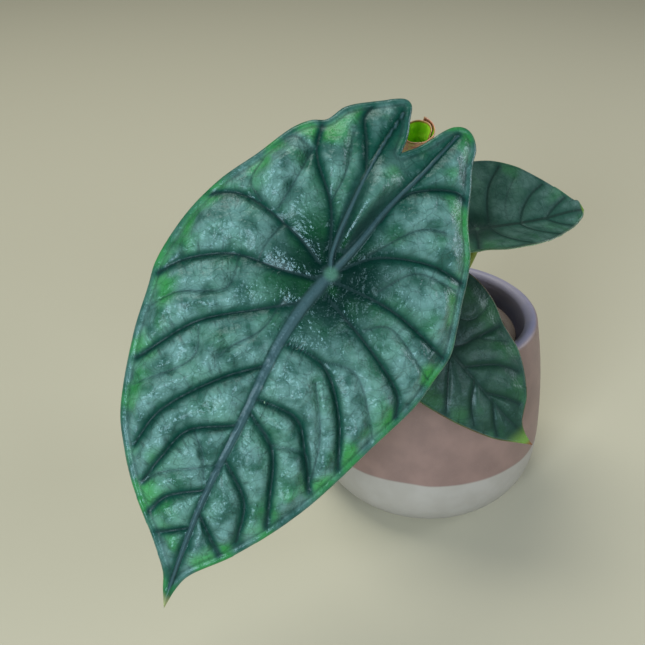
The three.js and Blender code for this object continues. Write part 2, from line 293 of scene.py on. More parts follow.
def ease(value: np.ndarray, low: float, high: float) -> np.ndarray:
    """Rises smoothly from 0 at low to 1 at high."""
    t = np.clip((value - low) / (high - low), 0, 1)
    return t * t * (3 - 2 * t)


def hump(distance: np.ndarray | float, width: float, power: float = 2) -> np.ndarray:
    """A ridge of height 1 that falls away over about its width."""
    return np.exp(-((distance / width) ** power))


class Grain:
    """Smooth seeded noise over a plane, between 0 and 1."""

    SIZE = 256

    def __init__(self, seed: int) -> None:
        """Fills the table of random heights."""
        self.table = np.random.default_rng(seed).random((self.SIZE, self.SIZE))

    def at(self, x: np.ndarray, y: np.ndarray) -> np.ndarray:
        """Reads the noise.

        Args:
            x: first coordinate, one lump per unit.
            y: second coordinate.

        Returns:
            The height at each place.
        """
        ix, iy = np.floor(x).astype(int), np.floor(y).astype(int)
        fx, fy = ease(x - ix, 0, 1), ease(y - iy, 0, 1)
        corner = [
            self.table[(ix + a) % self.SIZE, (iy + b) % self.SIZE] for a in (0, 1) for b in (0, 1)
        ]
        low = corner[0] * (1 - fy) + corner[1] * fy
        high = corner[2] * (1 - fy) + corner[3] * fy
        return low * (1 - fx) + high * fx


def mesh_piece(name: str, points: np.ndarray, faces: list[list[int]]) -> bpy.types.Object:
    """Makes a smooth-shaded piece from points and faces.

    Args:
        name: the piece's name.
        points: its points, in metres.
        faces: the numbers of each face's points, in order.

    Returns:
        The new object.
    """
    mesh = bpy.data.meshes.new(name)
    mesh.from_pydata(points.tolist(), [], faces)
    mesh.polygons.foreach_set("use_smooth", [True] * len(mesh.polygons))
    mesh.update()
    piece = bpy.data.objects.new(name, mesh)
    bpy.context.scene.collection.objects.link(piece)
    return piece


def closed_skin(name: str, rows: np.ndarray, closed: bool = True) -> bpy.types.Object:
    """Makes a closed mesh from rows of points.

    Args:
        name: the piece's name.
        rows: rows x points x 3, each row a loop round the skin, in metres.
        closed: True closes both ends with a fan. False is for a sheet, whose rows run over one
            face and back under the other, and closes them with strips between the faces.

    Returns:
        The new object, smooth shaded.
    """
    count, loop, _ = rows.shape
    a = np.arange(count * loop).reshape(count, loop)
    b = np.roll(a, -1, axis=1)
    quads = np.stack([a[:-1], b[:-1], b[1:], a[1:]], axis=-1).reshape(-1, 4).tolist()
    points = rows.reshape(-1, 3)
    if closed:
        points = np.vstack([points, rows[0].mean(0), rows[-1].mean(0)])
        first, last = len(points) - 2, len(points) - 1
        quads += [[first, y, x] for x, y in zip(a[0].tolist(), b[0].tolist(), strict=True)]
        quads += [[last, x, y] for x, y in zip(a[-1].tolist(), b[-1].tolist(), strict=True)]
    else:
        for row, flip in ((a[0], False), (a[-1], True)):
            for j in range(loop // 2 - 1):
                face = [row[j], row[loop - 1 - j], row[loop - 2 - j], row[j + 1]]
                quads.append([int(v) for v in (face[::-1] if flip else face)])
    return mesh_piece(name, points, quads)


def store(piece: bpy.types.Object, **measures: np.ndarray) -> None:
    """Stores numbers for each point of a piece, which its finish reads.

    Args:
        piece: the object.
        **measures: one value for each point; missing last points repeat the last value.
    """
    for name, values in measures.items():
        need = len(piece.data.vertices) - len(values)
        filled = np.concatenate([values, np.repeat(values[-1:], need)])
        layer = piece.data.attributes.new(name, "FLOAT", "POINT")
        layer.data.foreach_set("value", filled.astype(np.float32))


def hand_over(piece: bpy.types.Object, finish: "Finish", slot: str, *nodes: str) -> None:
    """Gives a finished piece its material, hangs it under the body and hides the CAD nodes that it
    stands for.

    Args:
        piece: the finished object.
        finish: the finish that it wears.
        slot: not used.
        *nodes: the CAD nodes that it stands for.
    """
    finish.wear(piece)
    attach(piece, BODY)
    if nodes:
        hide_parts(*nodes)
    log.info("%s: %d faces", piece.name, len(piece.data.polygons))


# ---------------------------------------------------------------- finishes
MADE: dict["Finish", bpy.types.Material] = {}


@dataclass(frozen=True)
class Finish:
    """What every finish shares: its name, gloss and the start of its node tree."""

    name: str
    roughness: float = 0.5
    ior: float = 1.45

    def material(self) -> bpy.types.Material:
        """Makes the finish's material on first use and hands it out again after that.

        Returns:
            The material.
        """
        if self in MADE:
            return MADE[self]
        made = MADE[self] = bpy.data.materials.new(self.name)
        made.use_nodes = True
        shader = made.node_tree.nodes["Principled BSDF"]
        shader.inputs["Roughness"].default_value = self.roughness
        shader.inputs["IOR"].default_value = self.ior
        self.dress(made.node_tree, shader)
        return made

    def wear(self, piece: bpy.types.Object) -> None:
        """Makes this the piece's only material."""
        piece.data.materials.clear()
        piece.data.materials.append(self.material())

    def dress(self, tree: bpy.types.NodeTree, shader: bpy.types.Node) -> None:
        """Adds the finish's own nodes. Each finish has its own version."""

    def raise_surface(
        self, tree: bpy.types.NodeTree, shader: bpy.types.Node, *layers: tuple[object, float]
    ) -> None:
        """Stacks relief on the shader's normal.

        Args:
            tree: the node tree.
            shader: the surface shader.
            *layers: a height between 0 and 1 and its depth in millimetres, each.
        """
        normal = None
        for height, depth_mm in layers:
            normal = add_node(tree, Kind.RAISE, 1.0, height, depth_mm * MM, normal)
        tree.links.new(normal, shader.inputs["Normal"])


@dataclass(frozen=True)
class QuiltedLeaf(Finish):
    """Living leaf with a thick wax: dark green in the valleys and silver where it puffs up.

    The dark green is partly the leaf's own and partly painted shade, and the silver partly the
    leaf's own grey and partly painted sheen. The wax is satin over a pebbled skin, so each puff
    carries a soft sheen full of small glints.
    """

    silver_and_sheen: str = "#5d847c"
    green: str = "#0c3c30"
    deep: str = "#021b16"
    fresh: str = "#2f8a2f"
    # Near-black of the veins, also used for painted shade in grooves and creases.
    vein: str = "#041f1d"
    rib: str = "#30494c"
    rim: str = "#17443a"
    joint: str = "#3f6a55"
    tip: str = "#8c9664"
    tip_end: str = "#7d8450"
    under: str = "#6d8a6c"
    under_light: str = "#7f9a78"
    under_vein: str = "#51262b"
    sheen: str = "#b4dcdf"
    silver_and_sheen_share: float = 0.93
    flush_share: float = 0.66
    net_share: float = 0.32       # how dark the net of finest veins is
    patch_mm: float = 10          # size of the fresh green patches
    drift_mm: float = 6           # size of the clouds in the silver
    mottle_mm: float = 2.2
    net_mm: float = 3.6           # width of one mesh of the finest veins
    dome_mm: float = 0.85         # width of one pebble of the skin
    pore_mm: float = 0.34
    pleat_mm: float = 1.5         # width of one cross-fold beside a lateral vein
    pleat_length: float = 5       # how many times longer than wide a cross-fold is
    pebble_mm: float = 0.15       # height of the pebbles
    rim_mm: float = 1.7
    fold_mm: float = 0.5          # height of the cross-folds
    # How dark the painted shade in the cross-folds' valleys is.
    fold_shade_share: float = 0.5
    valley_gloss: float = 0.65    # roughness of the dark valleys against that of the puffs

    def dress(self, tree: bpy.types.NodeTree, shader: bpy.types.Node) -> None:
        """Colours by vein, puff, reach and margin over a pebbled skin.

        Args:
            tree: the material's node tree.
            shader: its surface shader.
        """
        add = partial(add_node, tree)
        names = ("puff", "vein", "rib", "margin", "reach", "face", "tip", "along", "near", "folded")
        at = {name: add(Kind.READ, attribute_name=name) for name in names}
        at |= self.patterns(add, at)
        back = add(Kind.BLEND, at["mottle"], self.under, self.under_light)
        back = add(Kind.BLEND, at["vein"], back, self.under_vein)
        both = add(Kind.BLEND, at["face"], back, self.upper_face(add, at))
        tree.links.new(both, shader.inputs["Base Color"])
        tree.links.new(self.gloss(add, at), shader.inputs["Roughness"])
        shader.inputs["Specular Tint"].default_value = colour(self.sheen)
        shader.inputs["Coat Weight"].default_value = 0.05
        shader.inputs["Coat Roughness"].default_value = 0.2
        pebble = reduce(partial(add, Kind.TIMES), (
            at["domes"],
            add(Kind.FADE, at["rib"], 0, 0.6, 1, 0.25),
            add(Kind.FADE, at["puff"], 0.2, 0.85, 0.1, 1),
            add(Kind.FADE, at["reach"], 0.03, 0.24, 0.35, 1),
            add(Kind.FADE, at["margin"], self.rim_mm, self.rim_mm * 0.7, 1, 0.25),
        ))
        fold = add(Kind.TIMES, at["folds"], at["pleated"])
        self.raise_surface(
            tree, shader, (fold, self.fold_mm), (at["mottle"], self.pebble_mm * 2.8),
            (pebble, self.pebble_mm), (at["pores"], self.pebble_mm / 6),
        )

    def patterns(self, add: Callable[..., Socket], at: dict[str, Socket]) -> dict[str, Socket]:
        """Adds the skin's noises, and the shares that more than one layer uses.

        Args:
            add: adds a node to the tree.
            at: the piece's attributes.

        Returns:
            The patterns by name, each between 0 and 1.
        """
        times = partial(add, Kind.TIMES)
        place = add(Kind.PLACE)
        patches = add(Kind.NOISE, place, per_metre(self.patch_mm), 1)
        drift = add(Kind.NOISE, place, per_metre(self.drift_mm), 2)
        mottle = add(Kind.NOISE, place, per_metre(self.mottle_mm), 3)
        pores = add(Kind.NOISE, place, per_metre(self.pore_mm), 1)
        net = add(Kind.NET, place, per_metre(self.net_mm))
        domes = add(Kind.DOMES, place, per_metre(self.dome_mm))
        beside = add(Kind.JOIN, times(at["along"], MM), times(at["near"], MM / self.pleat_length))
        pleated = reduce(times, (
            at["folded"],
            add(Kind.FADE, at["puff"], 0.05, 0.5),
            add(Kind.FADE, at["reach"], 0.1, 0.34),
            add(Kind.FADE, at["margin"], 1.5, 4),
            add(Kind.FADE, drift, 0.38, 0.58, 0.35, 1),
        ))
        # Painted shade: the skin darkens into the valleys beside the veins, over the leaf's own
        # darker green there, and is darker towards the joint.
        rise = times(
            add(Kind.FADE, at["puff"], 0, 0.17, 0.28, 1),
            add(Kind.FADE, at["reach"], 0.05, 0.26, 0.05, 1),
        )
        return {
            "patches": patches,
            "drift": drift,
            "mottle": mottle,
            "pores": pores,
            "net": add(Kind.FADE, net, 0, 0.045, 1, 0),
            "domes": add(Kind.FADE, domes, 0, 0.75, 1, 0),
            "folds": add(Kind.NOISE, beside, per_metre(self.pleat_mm), 2),
            "pleated": pleated,
            "rise": rise,
        }

    def upper_face(self, add: Callable[..., Socket], at: dict[str, Socket]) -> Socket:
        """Lays the upper face's colours over each other, from the green ground to the tip.

        Args:
            add: adds a node to the tree.
            at: the attributes and patterns.

        Returns:
            The face's colour.
        """
        times = partial(add, Kind.TIMES)
        # Painted sheen: silver, partly the leaf's own grey and partly painted sheen, laid on the
        # puff tops.
        silver_and_sheen_mask = reduce(times, (
            add(Kind.FADE, at["puff"], 0.08, 0.78),
            add(Kind.FADE, at["reach"], 0.09, 0.28, 0.03, 1),
            add(Kind.FADE, at["drift"], 0.32, 0.62, 0.22, 1),
            add(Kind.FADE, at["mottle"], 0.25, 0.65, 0.7, 1),
            self.silver_and_sheen_share,
        ))
        flush = reduce(times, (
            add(Kind.FADE, at["margin"], 11, 3, 0.14, 1),
            add(Kind.FADE, at["patches"], 0.42, 0.68),
            add(Kind.FADE, at["puff"], 0.1, 0.6),
            self.flush_share,
        ))
        # Painted shade in the valleys of the cross-folds.
        fold_shade = times(at["pleated"], add(Kind.FADE, at["folds"], 0.46, 0.3))
        cord_share = add(Kind.FADE, at["patches"], 0.52, 0.66, 0, 0.4)
        # The ground: deep green in the valleys, partly painted shade, and green on the puffs.
        skin = add(Kind.BLEND, at["rise"], self.deep, self.green)
        for share, tone in (
            (silver_and_sheen_mask, self.silver_and_sheen),
            (flush, self.fresh),
            (times(at["net"], self.net_share), self.deep),
            (times(fold_shade, self.fold_shade_share), self.deep),
            # The veins' dark, with painted shade in the groove inside the rim, along each rib's
            # edge and beside the tongue.
            (at["vein"], self.vein),
            (at["rib"], self.rib),
            (add(Kind.FADE, at["reach"], 0.026, 0.008, 0, 0.8), self.joint),
            (
                add(Kind.FADE, at["margin"], self.rim_mm, self.rim_mm * 0.7, 0, 0.55),
                add(Kind.BLEND, cord_share, self.rim, self.fresh),
            ),
            (add(Kind.FADE, at["tip"], 0, 0.7), self.tip),
            (add(Kind.FADE, at["tip"], 0.68, 0.9), self.tip_end),
        ):
            skin = add(Kind.BLEND, share, skin, tone)
        return skin

    def gloss(self, add: Callable[..., Socket], at: dict[str, Socket]) -> Socket:
        """Makes the wax satin on the puffs, glossier in the valleys and dull on the veins.

        Args:
            add: adds a node to the tree.
            at: the attributes and patterns.

        Returns:
            The roughness.
        """
        low, high = self.roughness - 0.06, self.roughness + 0.1
        wax = add(
            Kind.TIMES, add(Kind.FADE, at["mottle"], 0.2, 0.8, low, high),
            add(Kind.FADE, at["rise"], 0, 1, self.valley_gloss, 1),
        )
        dull = add(
            Kind.PLUS, add(Kind.FADE, at["vein"], 0.1, 0.5, 0, 0.4),
            add(Kind.FADE, at["rib"], 0.2, 0.8, 0, 0.2),
        )
        return add(Kind.PLUS, wax, dull)


@dataclass(frozen=True)
class UnfurlingLeaf(Finish):
    """Soft new leaf: thin, bright yellow-green inside, flushed brown-red outside and on its edge.

    Its thin flesh lets some light through. The inside is painted brighter than its own
    yellow-green, with glow patches, as painted light for that glow in the shaded roll.
    """

    inside: str = "#86c81e"
    glow: str = "#b4ea3a"
    flush: str = "#5c3038"
    outside: str = "#c9b676"
    blush: str = "#c4846e"
    edge: str = "#7b3a22"
    lip: str = "#c48f72"
    cloud_mm: float = 4
    streak_mm: float = 1.6
    fibre_mm: float = 0.5

    def dress(self, tree: bpy.types.NodeTree, shader: bpy.types.Node) -> None:
        """Colours by face and by how near the free edge is.

        Args:
            tree: the material's node tree.
            shader: its surface shader.
        """
        add = partial(add_node, tree)
        times = partial(add, Kind.TIMES)
        place = add(Kind.PLACE)
        cloud, fibre, streak = (
            add(Kind.NOISE, place, per_metre(size), 2)
            for size in (self.cloud_mm, self.fibre_mm, self.streak_mm)
        )
        face, margin, lapped = (
            add(Kind.READ, attribute_name=name) for name in ("face", "margin", "lapped")
        )
        # Painted light: the inside is painted bright, in glow patches, for light coming through the
        # flesh.
        inner = add(Kind.BLEND, add(Kind.FADE, cloud, 0.35, 0.65), self.inside, self.glow)
        outer = add(Kind.BLEND, add(Kind.FADE, streak, 0.4, 0.6), self.outside, self.blush)
        band = times(add(Kind.FADE, margin, 1, 0.4, 0, 0.8), add(Kind.FADE, face, 0, 1, 1, 0.55))
        skin = add(Kind.BLEND, face, inner, outer)
        for share, tone in (
            (times(lapped, 0.85), self.flush),
            (band, self.edge),
            (add(Kind.FADE, margin, 0.2, 0.08, 0, 0.8), self.lip),
        ):
            skin = add(Kind.BLEND, share, skin, tone)
        tree.links.new(skin, shader.inputs["Base Color"])
        shader.inputs["Subsurface Weight"].default_value = 0.15
        shader.inputs["Subsurface Radius"].default_value = (0.001, 0.0015, 0.0004)
        shader.inputs["Subsurface Scale"].default_value = 1.0
        self.raise_surface(tree, shader, (cloud, 0.15), (fibre, 0.05))


@dataclass(frozen=True)
class Mottled(Finish):
    """Two tones in soft patches under a fine grain: stalks, dry sheaths, bark, mix and plastic."""

    ground: str = "#7d9a3e"
    patch: str = "#8f8a3a"
    speck: str = "#1a120c"
    patch_mm: float = 4
    grain_mm: float = 0.5
    relief_mm: float = 0.1
    stretch: float = 1.0

    def dress(self, tree: bpy.types.NodeTree, shader: bpy.types.Node) -> None:
        """Mixes the two tones by noise, drawn out along Z where the stretch is above 1.

        Args:
            tree: the material's node tree.
            shader: its surface shader.
        """
        add = partial(add_node, tree)
        drawn = add(Kind.STRETCH, add(Kind.PLACE), (1, 1, 1 / self.stretch))
        cloud = add(Kind.NOISE, drawn, per_metre(self.patch_mm), 3)
        fine = add(Kind.NOISE, drawn, per_metre(self.grain_mm), 3)
        skin = add(Kind.BLEND, add(Kind.FADE, cloud, 0.35, 0.65), self.ground, self.patch)
        skin = add(Kind.BLEND, add(Kind.FADE, fine, 0.45, 0.7, 0, 0.35), skin, self.speck)
        tree.links.new(skin, shader.inputs["Base Color"])
        self.raise_surface(tree, shader, (cloud, self.relief_mm * 2), (fine, self.relief_mm))


@dataclass(frozen=True)
class TwoToneStoneware(Finish):
    """Stoneware dipped twice: chalky dusty pink above, off-white below, lilac-grey in the mouth.
    The off-white is painted greyer than the glaze, as painted shade.

    The glaze is satin-matt, so it gives a broad soft sheen and a faint sandy mottle.
    """

    pink: str = "#7c665d"
    pink_cloud: str = "#715d55"
    pink_sand: str = "#7c6660"
    # Painted shade: the off-white glaze is painted greyer than it is.
    shaded_cream: str = "#959289"
    shaded_cream_cloud: str = "#8f8c82"
    lilac: str = "#8f8c9c"
    lilac_cloud: str = "#83839a"
    line_mm: float = 27.2        # where the dips meet, before the sway carries the line down
    sway_mm: float = 2.5
    sway_length_mm: float = 22
    cloud_mm: float = 9
    sand_mm: float = 0.7

    def dress(self, tree: bpy.types.NodeTree, shader: bpy.types.Node) -> None:
        """Picks the glaze by height and by how far inside the wall a point is.

        Args:
            tree: the material's node tree.
            shader: its surface shader.
        """
        add = partial(add_node, tree)
        place = add(Kind.PLACE)
        sway = add(Kind.NOISE, place, per_metre(self.sway_length_mm), 1)
        sand = add(Kind.NOISE, place, per_metre(self.sand_mm), 2)
        cloud = add(Kind.NOISE, place, per_metre(self.cloud_mm), 2)
        height = add(Kind.PLUS, add(Kind.TIMES, sway, self.sway_mm * MM), add(Kind.HEIGHT, place))
        above = add(Kind.FADE, height, (self.line_mm - 0.5) * MM, (self.line_mm + 0.5) * MM)
        clouded = add(Kind.FADE, cloud, 0.3, 0.7)
        sanded = add(Kind.FADE, sand, 0.5, 0.75, 0, 0.3)
        rose = add(Kind.BLEND, clouded, self.pink, self.pink_cloud)
        rose = add(Kind.BLEND, sanded, rose, self.pink_sand)
        # The lower glaze, painted greyer as painted shade.
        shaded_ivory = add(Kind.BLEND, clouded, self.shaded_cream, self.shaded_cream_cloud)
        grey = add(Kind.BLEND, clouded, self.lilac, self.lilac_cloud)
        body = add(Kind.BLEND, above, shaded_ivory, rose)
        body = add(Kind.BLEND, add(Kind.READ, attribute_name="mouth"), body, grey)
        tree.links.new(body, shader.inputs["Base Color"])
        self.raise_surface(tree, shader, (cloud, 0.12), (sand, 0.05))


@dataclass(frozen=True)
class PaleFloor(Finish):
    """A plain pale matt sweep to stand the pot on."""

    tone: str = "#b2af98"

    def dress(self, tree: bpy.types.NodeTree, shader: bpy.types.Node) -> None:
        """Sets the one pale tone."""
        shader.inputs["Base Color"].default_value = colour(self.tone)


# Thick satin wax on a full-grown leaf: broad silver sheen on the puffs, partly painted into its
# colour, and dark glossy valleys, partly painted shade.
MATURE_LEAF = QuiltedLeaf("waxy_quilted_leaf", roughness=0.3, ior=1.36)
# Thinner wax on a small flat leaf: a dull even sheen with little silver in it.
SMALL_LEAF = QuiltedLeaf(
    "waxy_small_leaf", roughness=0.42, ior=1.38, silver_and_sheen="#4a6a60", green="#204337", deep="#0c281f",
    fresh="#2f6a3c", vein="#081f19", rib="#10291f", rim="#3c4429", joint="#2a4a38",
    tip="#64822e", tip_end="#6b4420", silver_and_sheen_share=0.8, flush_share=0.5, pebble_mm=0.07, rim_mm=0.5,
    valley_gloss=1.0, fold_mm=0.12, fold_shade_share=0.2,
)
# A darker copy of the small leaf's wax, as painted shade for the lower leaf in the front leaf's
# shadow, with a browned rim and a dry brown tip.
LEAF_IN_PAINTED_SHADE = replace(
    SMALL_LEAF, name="waxy_leaf_in_painted_shade", silver_and_sheen="#2f493c", green="#112e21", deep="#061c14",
    fresh="#2b5c33", rim="#5c4320", tip="#5b7a30", tip_end="#6e4426",
)
YOUNG_LEAF = UnfurlingLeaf("soft_new_leaf", roughness=0.4)
# Juicy smooth-skinned stalk: one long soft highlight over faint olive streaks.
STALK = Mottled("smooth_green_stalk", roughness=0.42, relief_mm=0.03, stretch=4)
# Cork over an old stem: matt, light and dark brown in blotches.
STEM = Mottled(
    "corky_stem", roughness=0.85, ground="#6d5a3c", patch="#8a7a58", patch_mm=3, relief_mm=0.2,
)
# Dried leaf sheath: matt straw-brown paper with long streaks.
DRY_SHEATH = Mottled(
    "dry_papery_sheath", roughness=0.8, ground="#a9865a", patch="#7d5a34", patch_mm=3,
    relief_mm=0.12, stretch=8,
)
# Chipped conifer bark: rough and matt, rust-brown with dark hollows.
BARK = Mottled(
    "orchid_bark", roughness=0.9, ground="#6a4426", patch="#3f2716", patch_mm=2, relief_mm=0.25,
)
# Volcanic glass popped by heat: chalky off-white foam, quite without shine.
PERLITE = Mottled(
    "porous_perlite", roughness=0.95, ground="#e6e3da", patch="#cfcabd", patch_mm=1.5,
    relief_mm=0.15,
)
# Moist milled peat: nearly black-brown crumbs that swallow the light.
PEAT = Mottled(
    "moist_peat_mix", roughness=0.92, ground="#2c1e15", patch="#47301f", patch_mm=2.5,
    relief_mm=0.3,
)
# Thin moulded polypropylene: dull taupe with a weak even sheen.
NURSERY_PLASTIC = Mottled(
    "thin_taupe_polypropylene", roughness=0.6, ground="#6b6057", patch="#62574f", patch_mm=20,
    relief_mm=0.02,
)
STONEWARE = TwoToneStoneware("twice_dipped_satin_stoneware", roughness=0.48, ior=1.5)
FLOOR = PaleFloor("pale_floor", roughness=0.85)


# ---------------------------------------------------------------- leaf blades
@dataclass
class LeafBlade:
    """One quilted blade, laid out about its stalk joint.

    u runs along the midrib to the tip and v to the right of it, seen from above the leaf. Both
    margins run from the notch between the rear lobes round to the tip.
    """

    name: str
    finish: Finish
    joint: Point3
    midrib: Point3
    normal: Point3
    left: Sequence[Point2]
    right: Sequence[Point2]
    ribs: Sequence[Sequence[Point2]]
    laterals: Sequence[Sequence[Point2]]
    minors: Sequence[Sequence[Point2]]
    across_radius: float        # how the blade curls down: half of this is its radius in mm
    behind_radius: float
    ahead_radius: float
    fold: float = 0.0           # slope of a shallow V along the midrib
    thickness: float = 0.8
    puff: float = 3.3           # how high a panel stands between its veins
    puff_reach: float = 4.2
    wrinkle: float = 2.7        # how deep the creases across a panel are
    rib_widths: tuple[float, float, float] = (1.5, 0.65, 0.95)
    rib_height: float = 0.85
    keel: float = 1.1           # how far the ribs stand out underneath
    rim_width: float = 1.7
    vein_shade: float = 0.94
    tip_from: float = 99.5      # where along the midrib the tip begins to yellow
    tongue: Sequence[Point2] = ((-8, -0.9), (-16, -1.1), (-24, -0.8), (-30, -0.2))
    edge_points: int = 330      # points along each margin
    rings: int = 104
    seed: int = 1

    # The mesh: its rings as shares of the way from the joint to the margin.
    CENTRE_RING = 0.008
    INNER_REACH = 0.982
    RIM_RINGS = (0.986, 0.990, 0.9935, 0.9965, 0.9985)
    CROWDING = 0.62             # below 1, the rings stand closer towards the margin
    MAIN_SAMPLES = 40
    MINOR_SAMPLES = 24

    # The relief, in millimetres.
    NARROWEST_HALF = 0.5
    WIDEST_HALF = 14.0          # a panel wider than this on each side arches no higher
    ARCH_HALF = 9.0             # one that is this wide arches to two thirds of that
    SWELL_SIZE = 8.0            # lumps of three sizes in the puffs
    DENT_SIZE = 3.0
    CRIMP_SIZE = 1.6
    FOLD_SPACING = 1.9          # cross-folds beside the lateral veins
    FOLD_LENGTH = 7.0
    LANE = 53.0                 # keeps each vein's cross-folds apart in the noise
    CALM_RIM = (1.2, 6.5)       # the puffs rise between these distances from the margin
    CALM_JOINT = (0.05, 0.36)   # and between these shares of the way from the joint to the tip
    NOTCH_SIZE = 11.0           # the skin lies flatter this near to the notch
    NOTCH_TINT = 15.0           # and is plain green this near to it
    MARGIN_WAVE = 0.275         # how far the margin waves up and down
    FLAT_CREST = 0.5            # rounds the sharp line along each vein

    def height(self, uv: np.ndarray) -> np.ndarray:
        """The blade's broad bend at places on it.

        Args:
            uv: the places.

        Returns:
            How high the bent blade is there.
        """
        u, v = uv.T
        along = np.where(u < 0, self.behind_radius, self.ahead_radius)
        cross = 0 if math.isinf(self.across_radius) else v**2 / self.across_radius
        return self.fold * (np.hypot(v, 3) - 3) - cross - u**2 / along

    def edge(self) -> np.ndarray:
        """Joins both margins.

        Returns:
            The whole margin as one loop of points.
        """
        left = smooth_curve(self.left, self.edge_points + 1)
        right = smooth_curve(self.right, self.edge_points + 1)[::-1]
        return np.vstack([left[:-1], right[:-1]])

    def fields(self, uv: np.ndarray, edge: np.ndarray) -> dict[str, np.ndarray]:
        """Measures every place on the blade against its veins and margin.

        Args:
            uv: the places.
            edge: the margin.

        Returns:
            Named measures: distances in millimetres and shares between 0 and 1.
        """
        mains = [*self.ribs, *self.laterals]
        far = np.empty((len(mains), len(uv)))
        run = np.empty_like(far)
        length = np.empty(len(mains))
        for i, route in enumerate(mains):
            line = smooth_curve(route, self.MAIN_SAMPLES)
            length[i] = line_run(line)[1][-1]
            far[i], run[i] = nearest_on(line, uv)
        order = np.argsort(far, axis=0)[:2]
        every = np.arange(len(uv))
        near, second = far[order[0], every], far[order[1], every]
        along = run[order[0], every]
        minors = [nearest_on(smooth_curve(m, self.MINOR_SAMPLES), uv)[0] for m in self.minors]
        count = len(self.ribs)
        taper = 1 - 0.75 * run[:count] / length[:count, None]
        widths = np.array(self.rib_widths)[:, None] * taper
        ribs = far[:count] / widths
        return {
            "near": np.clip(near - np.where(order[0] < count, widths.min(0) * 0.6, 0), 0, None),
            "lateral": far[count:].min(0),
            "along": along + self.LANE * order[0],
            "taper": 1 - 0.55 * along / length[order[0]],
            "half": np.clip((near + second) / 2, self.NARROWEST_HALF, self.WIDEST_HALF),
            "between": ease(second - near, 0.0, 1.4),
            "minor": np.minimum.reduce(minors),
            "rib": np.minimum(ribs.min(0), np.hypot(*uv.T) / (self.rib_widths[0] * 1.25)),
            "margin": nearest_on(np.vstack([edge, edge[:1]]), uv)[0],
            "reach": np.hypot(*uv.T) / max(p[0] for p in self.left),
            "notch": np.hypot(*(uv - self.left[0]).T),
            "tongue": nearest_on(np.array(self.tongue), uv)[0] / (0.3 + 0.13 * np.hypot(*uv.T)),
        }

    def quilting(self, f: dict[str, np.ndarray], uv: np.ndarray) -> np.ndarray:
        """How far the skin between the veins puffs up, with its swells, dents and cross-folds.

        Args:
            f: the measures from fields.
            uv: the places.

        Returns:
            The puff's height, in millimetres.
        """
        grain = Grain(self.seed)

        def lumps(size: float, shift_u: float, shift_v: float) -> np.ndarray:
            """Noise about 0, in lumps of a size in millimetres."""
            return grain.at(uv[:, 0] / size + shift_u, uv[:, 1] / size + shift_v) - 0.5

        swell = lumps(self.SWELL_SIZE, 60, 60)
        dent = lumps(self.DENT_SIZE, 20, 90)
        crimp = lumps(self.CRIMP_SIZE, 5, 35)
        crossing = grain.at(f["along"] / self.FOLD_SPACING, f["near"] / self.FOLD_LENGTH + 9) - 0.5
        from_vein = np.hypot(f["near"], self.FLAT_CREST) - self.FLAT_CREST
        crease = 1 - hump(from_vein, self.puff_reach, 1.1)
        across = np.clip(f["near"] / f["half"], 0, 1)
        arch = (1 - np.exp(-f["half"] / self.ARCH_HALF)) * across * (2 - across)
        panel = 0.4 * crease + 1.1 * arch
        calm = ease(f["margin"], *self.CALM_RIM)
        calm *= 0.06 + 0.94 * ease(f["reach"], *self.CALM_JOINT)
        calm *= 1 - 0.8 * hump(f["notch"], self.NOTCH_SIZE)
        quilt = self.puff * panel * (1 + 0.5 * swell) * (1 - 0.5 * hump(f["minor"], 2.0))
        quilt += self.wrinkle * 0.3 * crossing * f["between"] * hump(f["near"] - 2.5, 3.0)
        quilt += self.wrinkle * (0.4 * dent + 0.16 * crimp) * panel
        quilt -= self.puff * 0.2 * hump(f["minor"], 0.8)
        quilt += self.puff * 2.2 * hump(f["tongue"], 1.0, 2.5) * hump(f["reach"] - 0.19, 0.16)
        away = 0.3 + 0.7 * ease(f["reach"], 0.08, 0.3)
        return quilt * calm - 0.3 * hump(f["lateral"], 0.85) * f["taper"] * away

    def relief(self, f: dict[str, np.ndarray], uv: np.ndarray) -> tuple[np.ndarray, np.ndarray]:
        """How far both faces stand off the blade's broad bend.

        Args:
            f: the measures from fields.
            uv: the places.

        Returns:
            The upper and the under face, in millimetres.
        """
        quilt = self.quilting(f, uv)
        rib = hump(f["rib"], 0.95, 2.2)
        wide = self.rim_width
        bead = hump(f["margin"] - wide / 2, wide * 0.37)
        bead -= 0.25 * hump(f["margin"] - wide * 1.3, wide * 0.42)
        body = self.thickness / 2 * np.sqrt(np.clip(f["margin"] / 0.45, 0, 1))
        over = quilt + self.rib_height * rib + 0.2 * wide * bead + body
        under = (
            0.8 * quilt - body - 0.15 * bead
            - hump(f["lateral"], 1.5) * f["taper"] - self.keel * hump(f["rib"], 1.2)
        )
        return over, np.minimum(under, over)

    def mark(
        self, piece: bpy.types.Object, f: dict[str, np.ndarray], uv: np.ndarray, is_over: np.ndarray
    ) -> None:
        """Stores what the leaf's finish reads at every point.

        Args:
            piece: the blade.
            f: the measures from fields.
            uv: the places of its points.
            is_over: which points are on the upper face.
        """
        open_ground = 1 - hump(f["notch"], self.NOTCH_TINT, 3)
        tongue = hump(f["tongue"], 1.7, 6)
        puff = 1 - hump(f["near"], self.puff_reach * 0.55, 1.3)
        puff *= 1 - 0.95 * open_ground * tongue
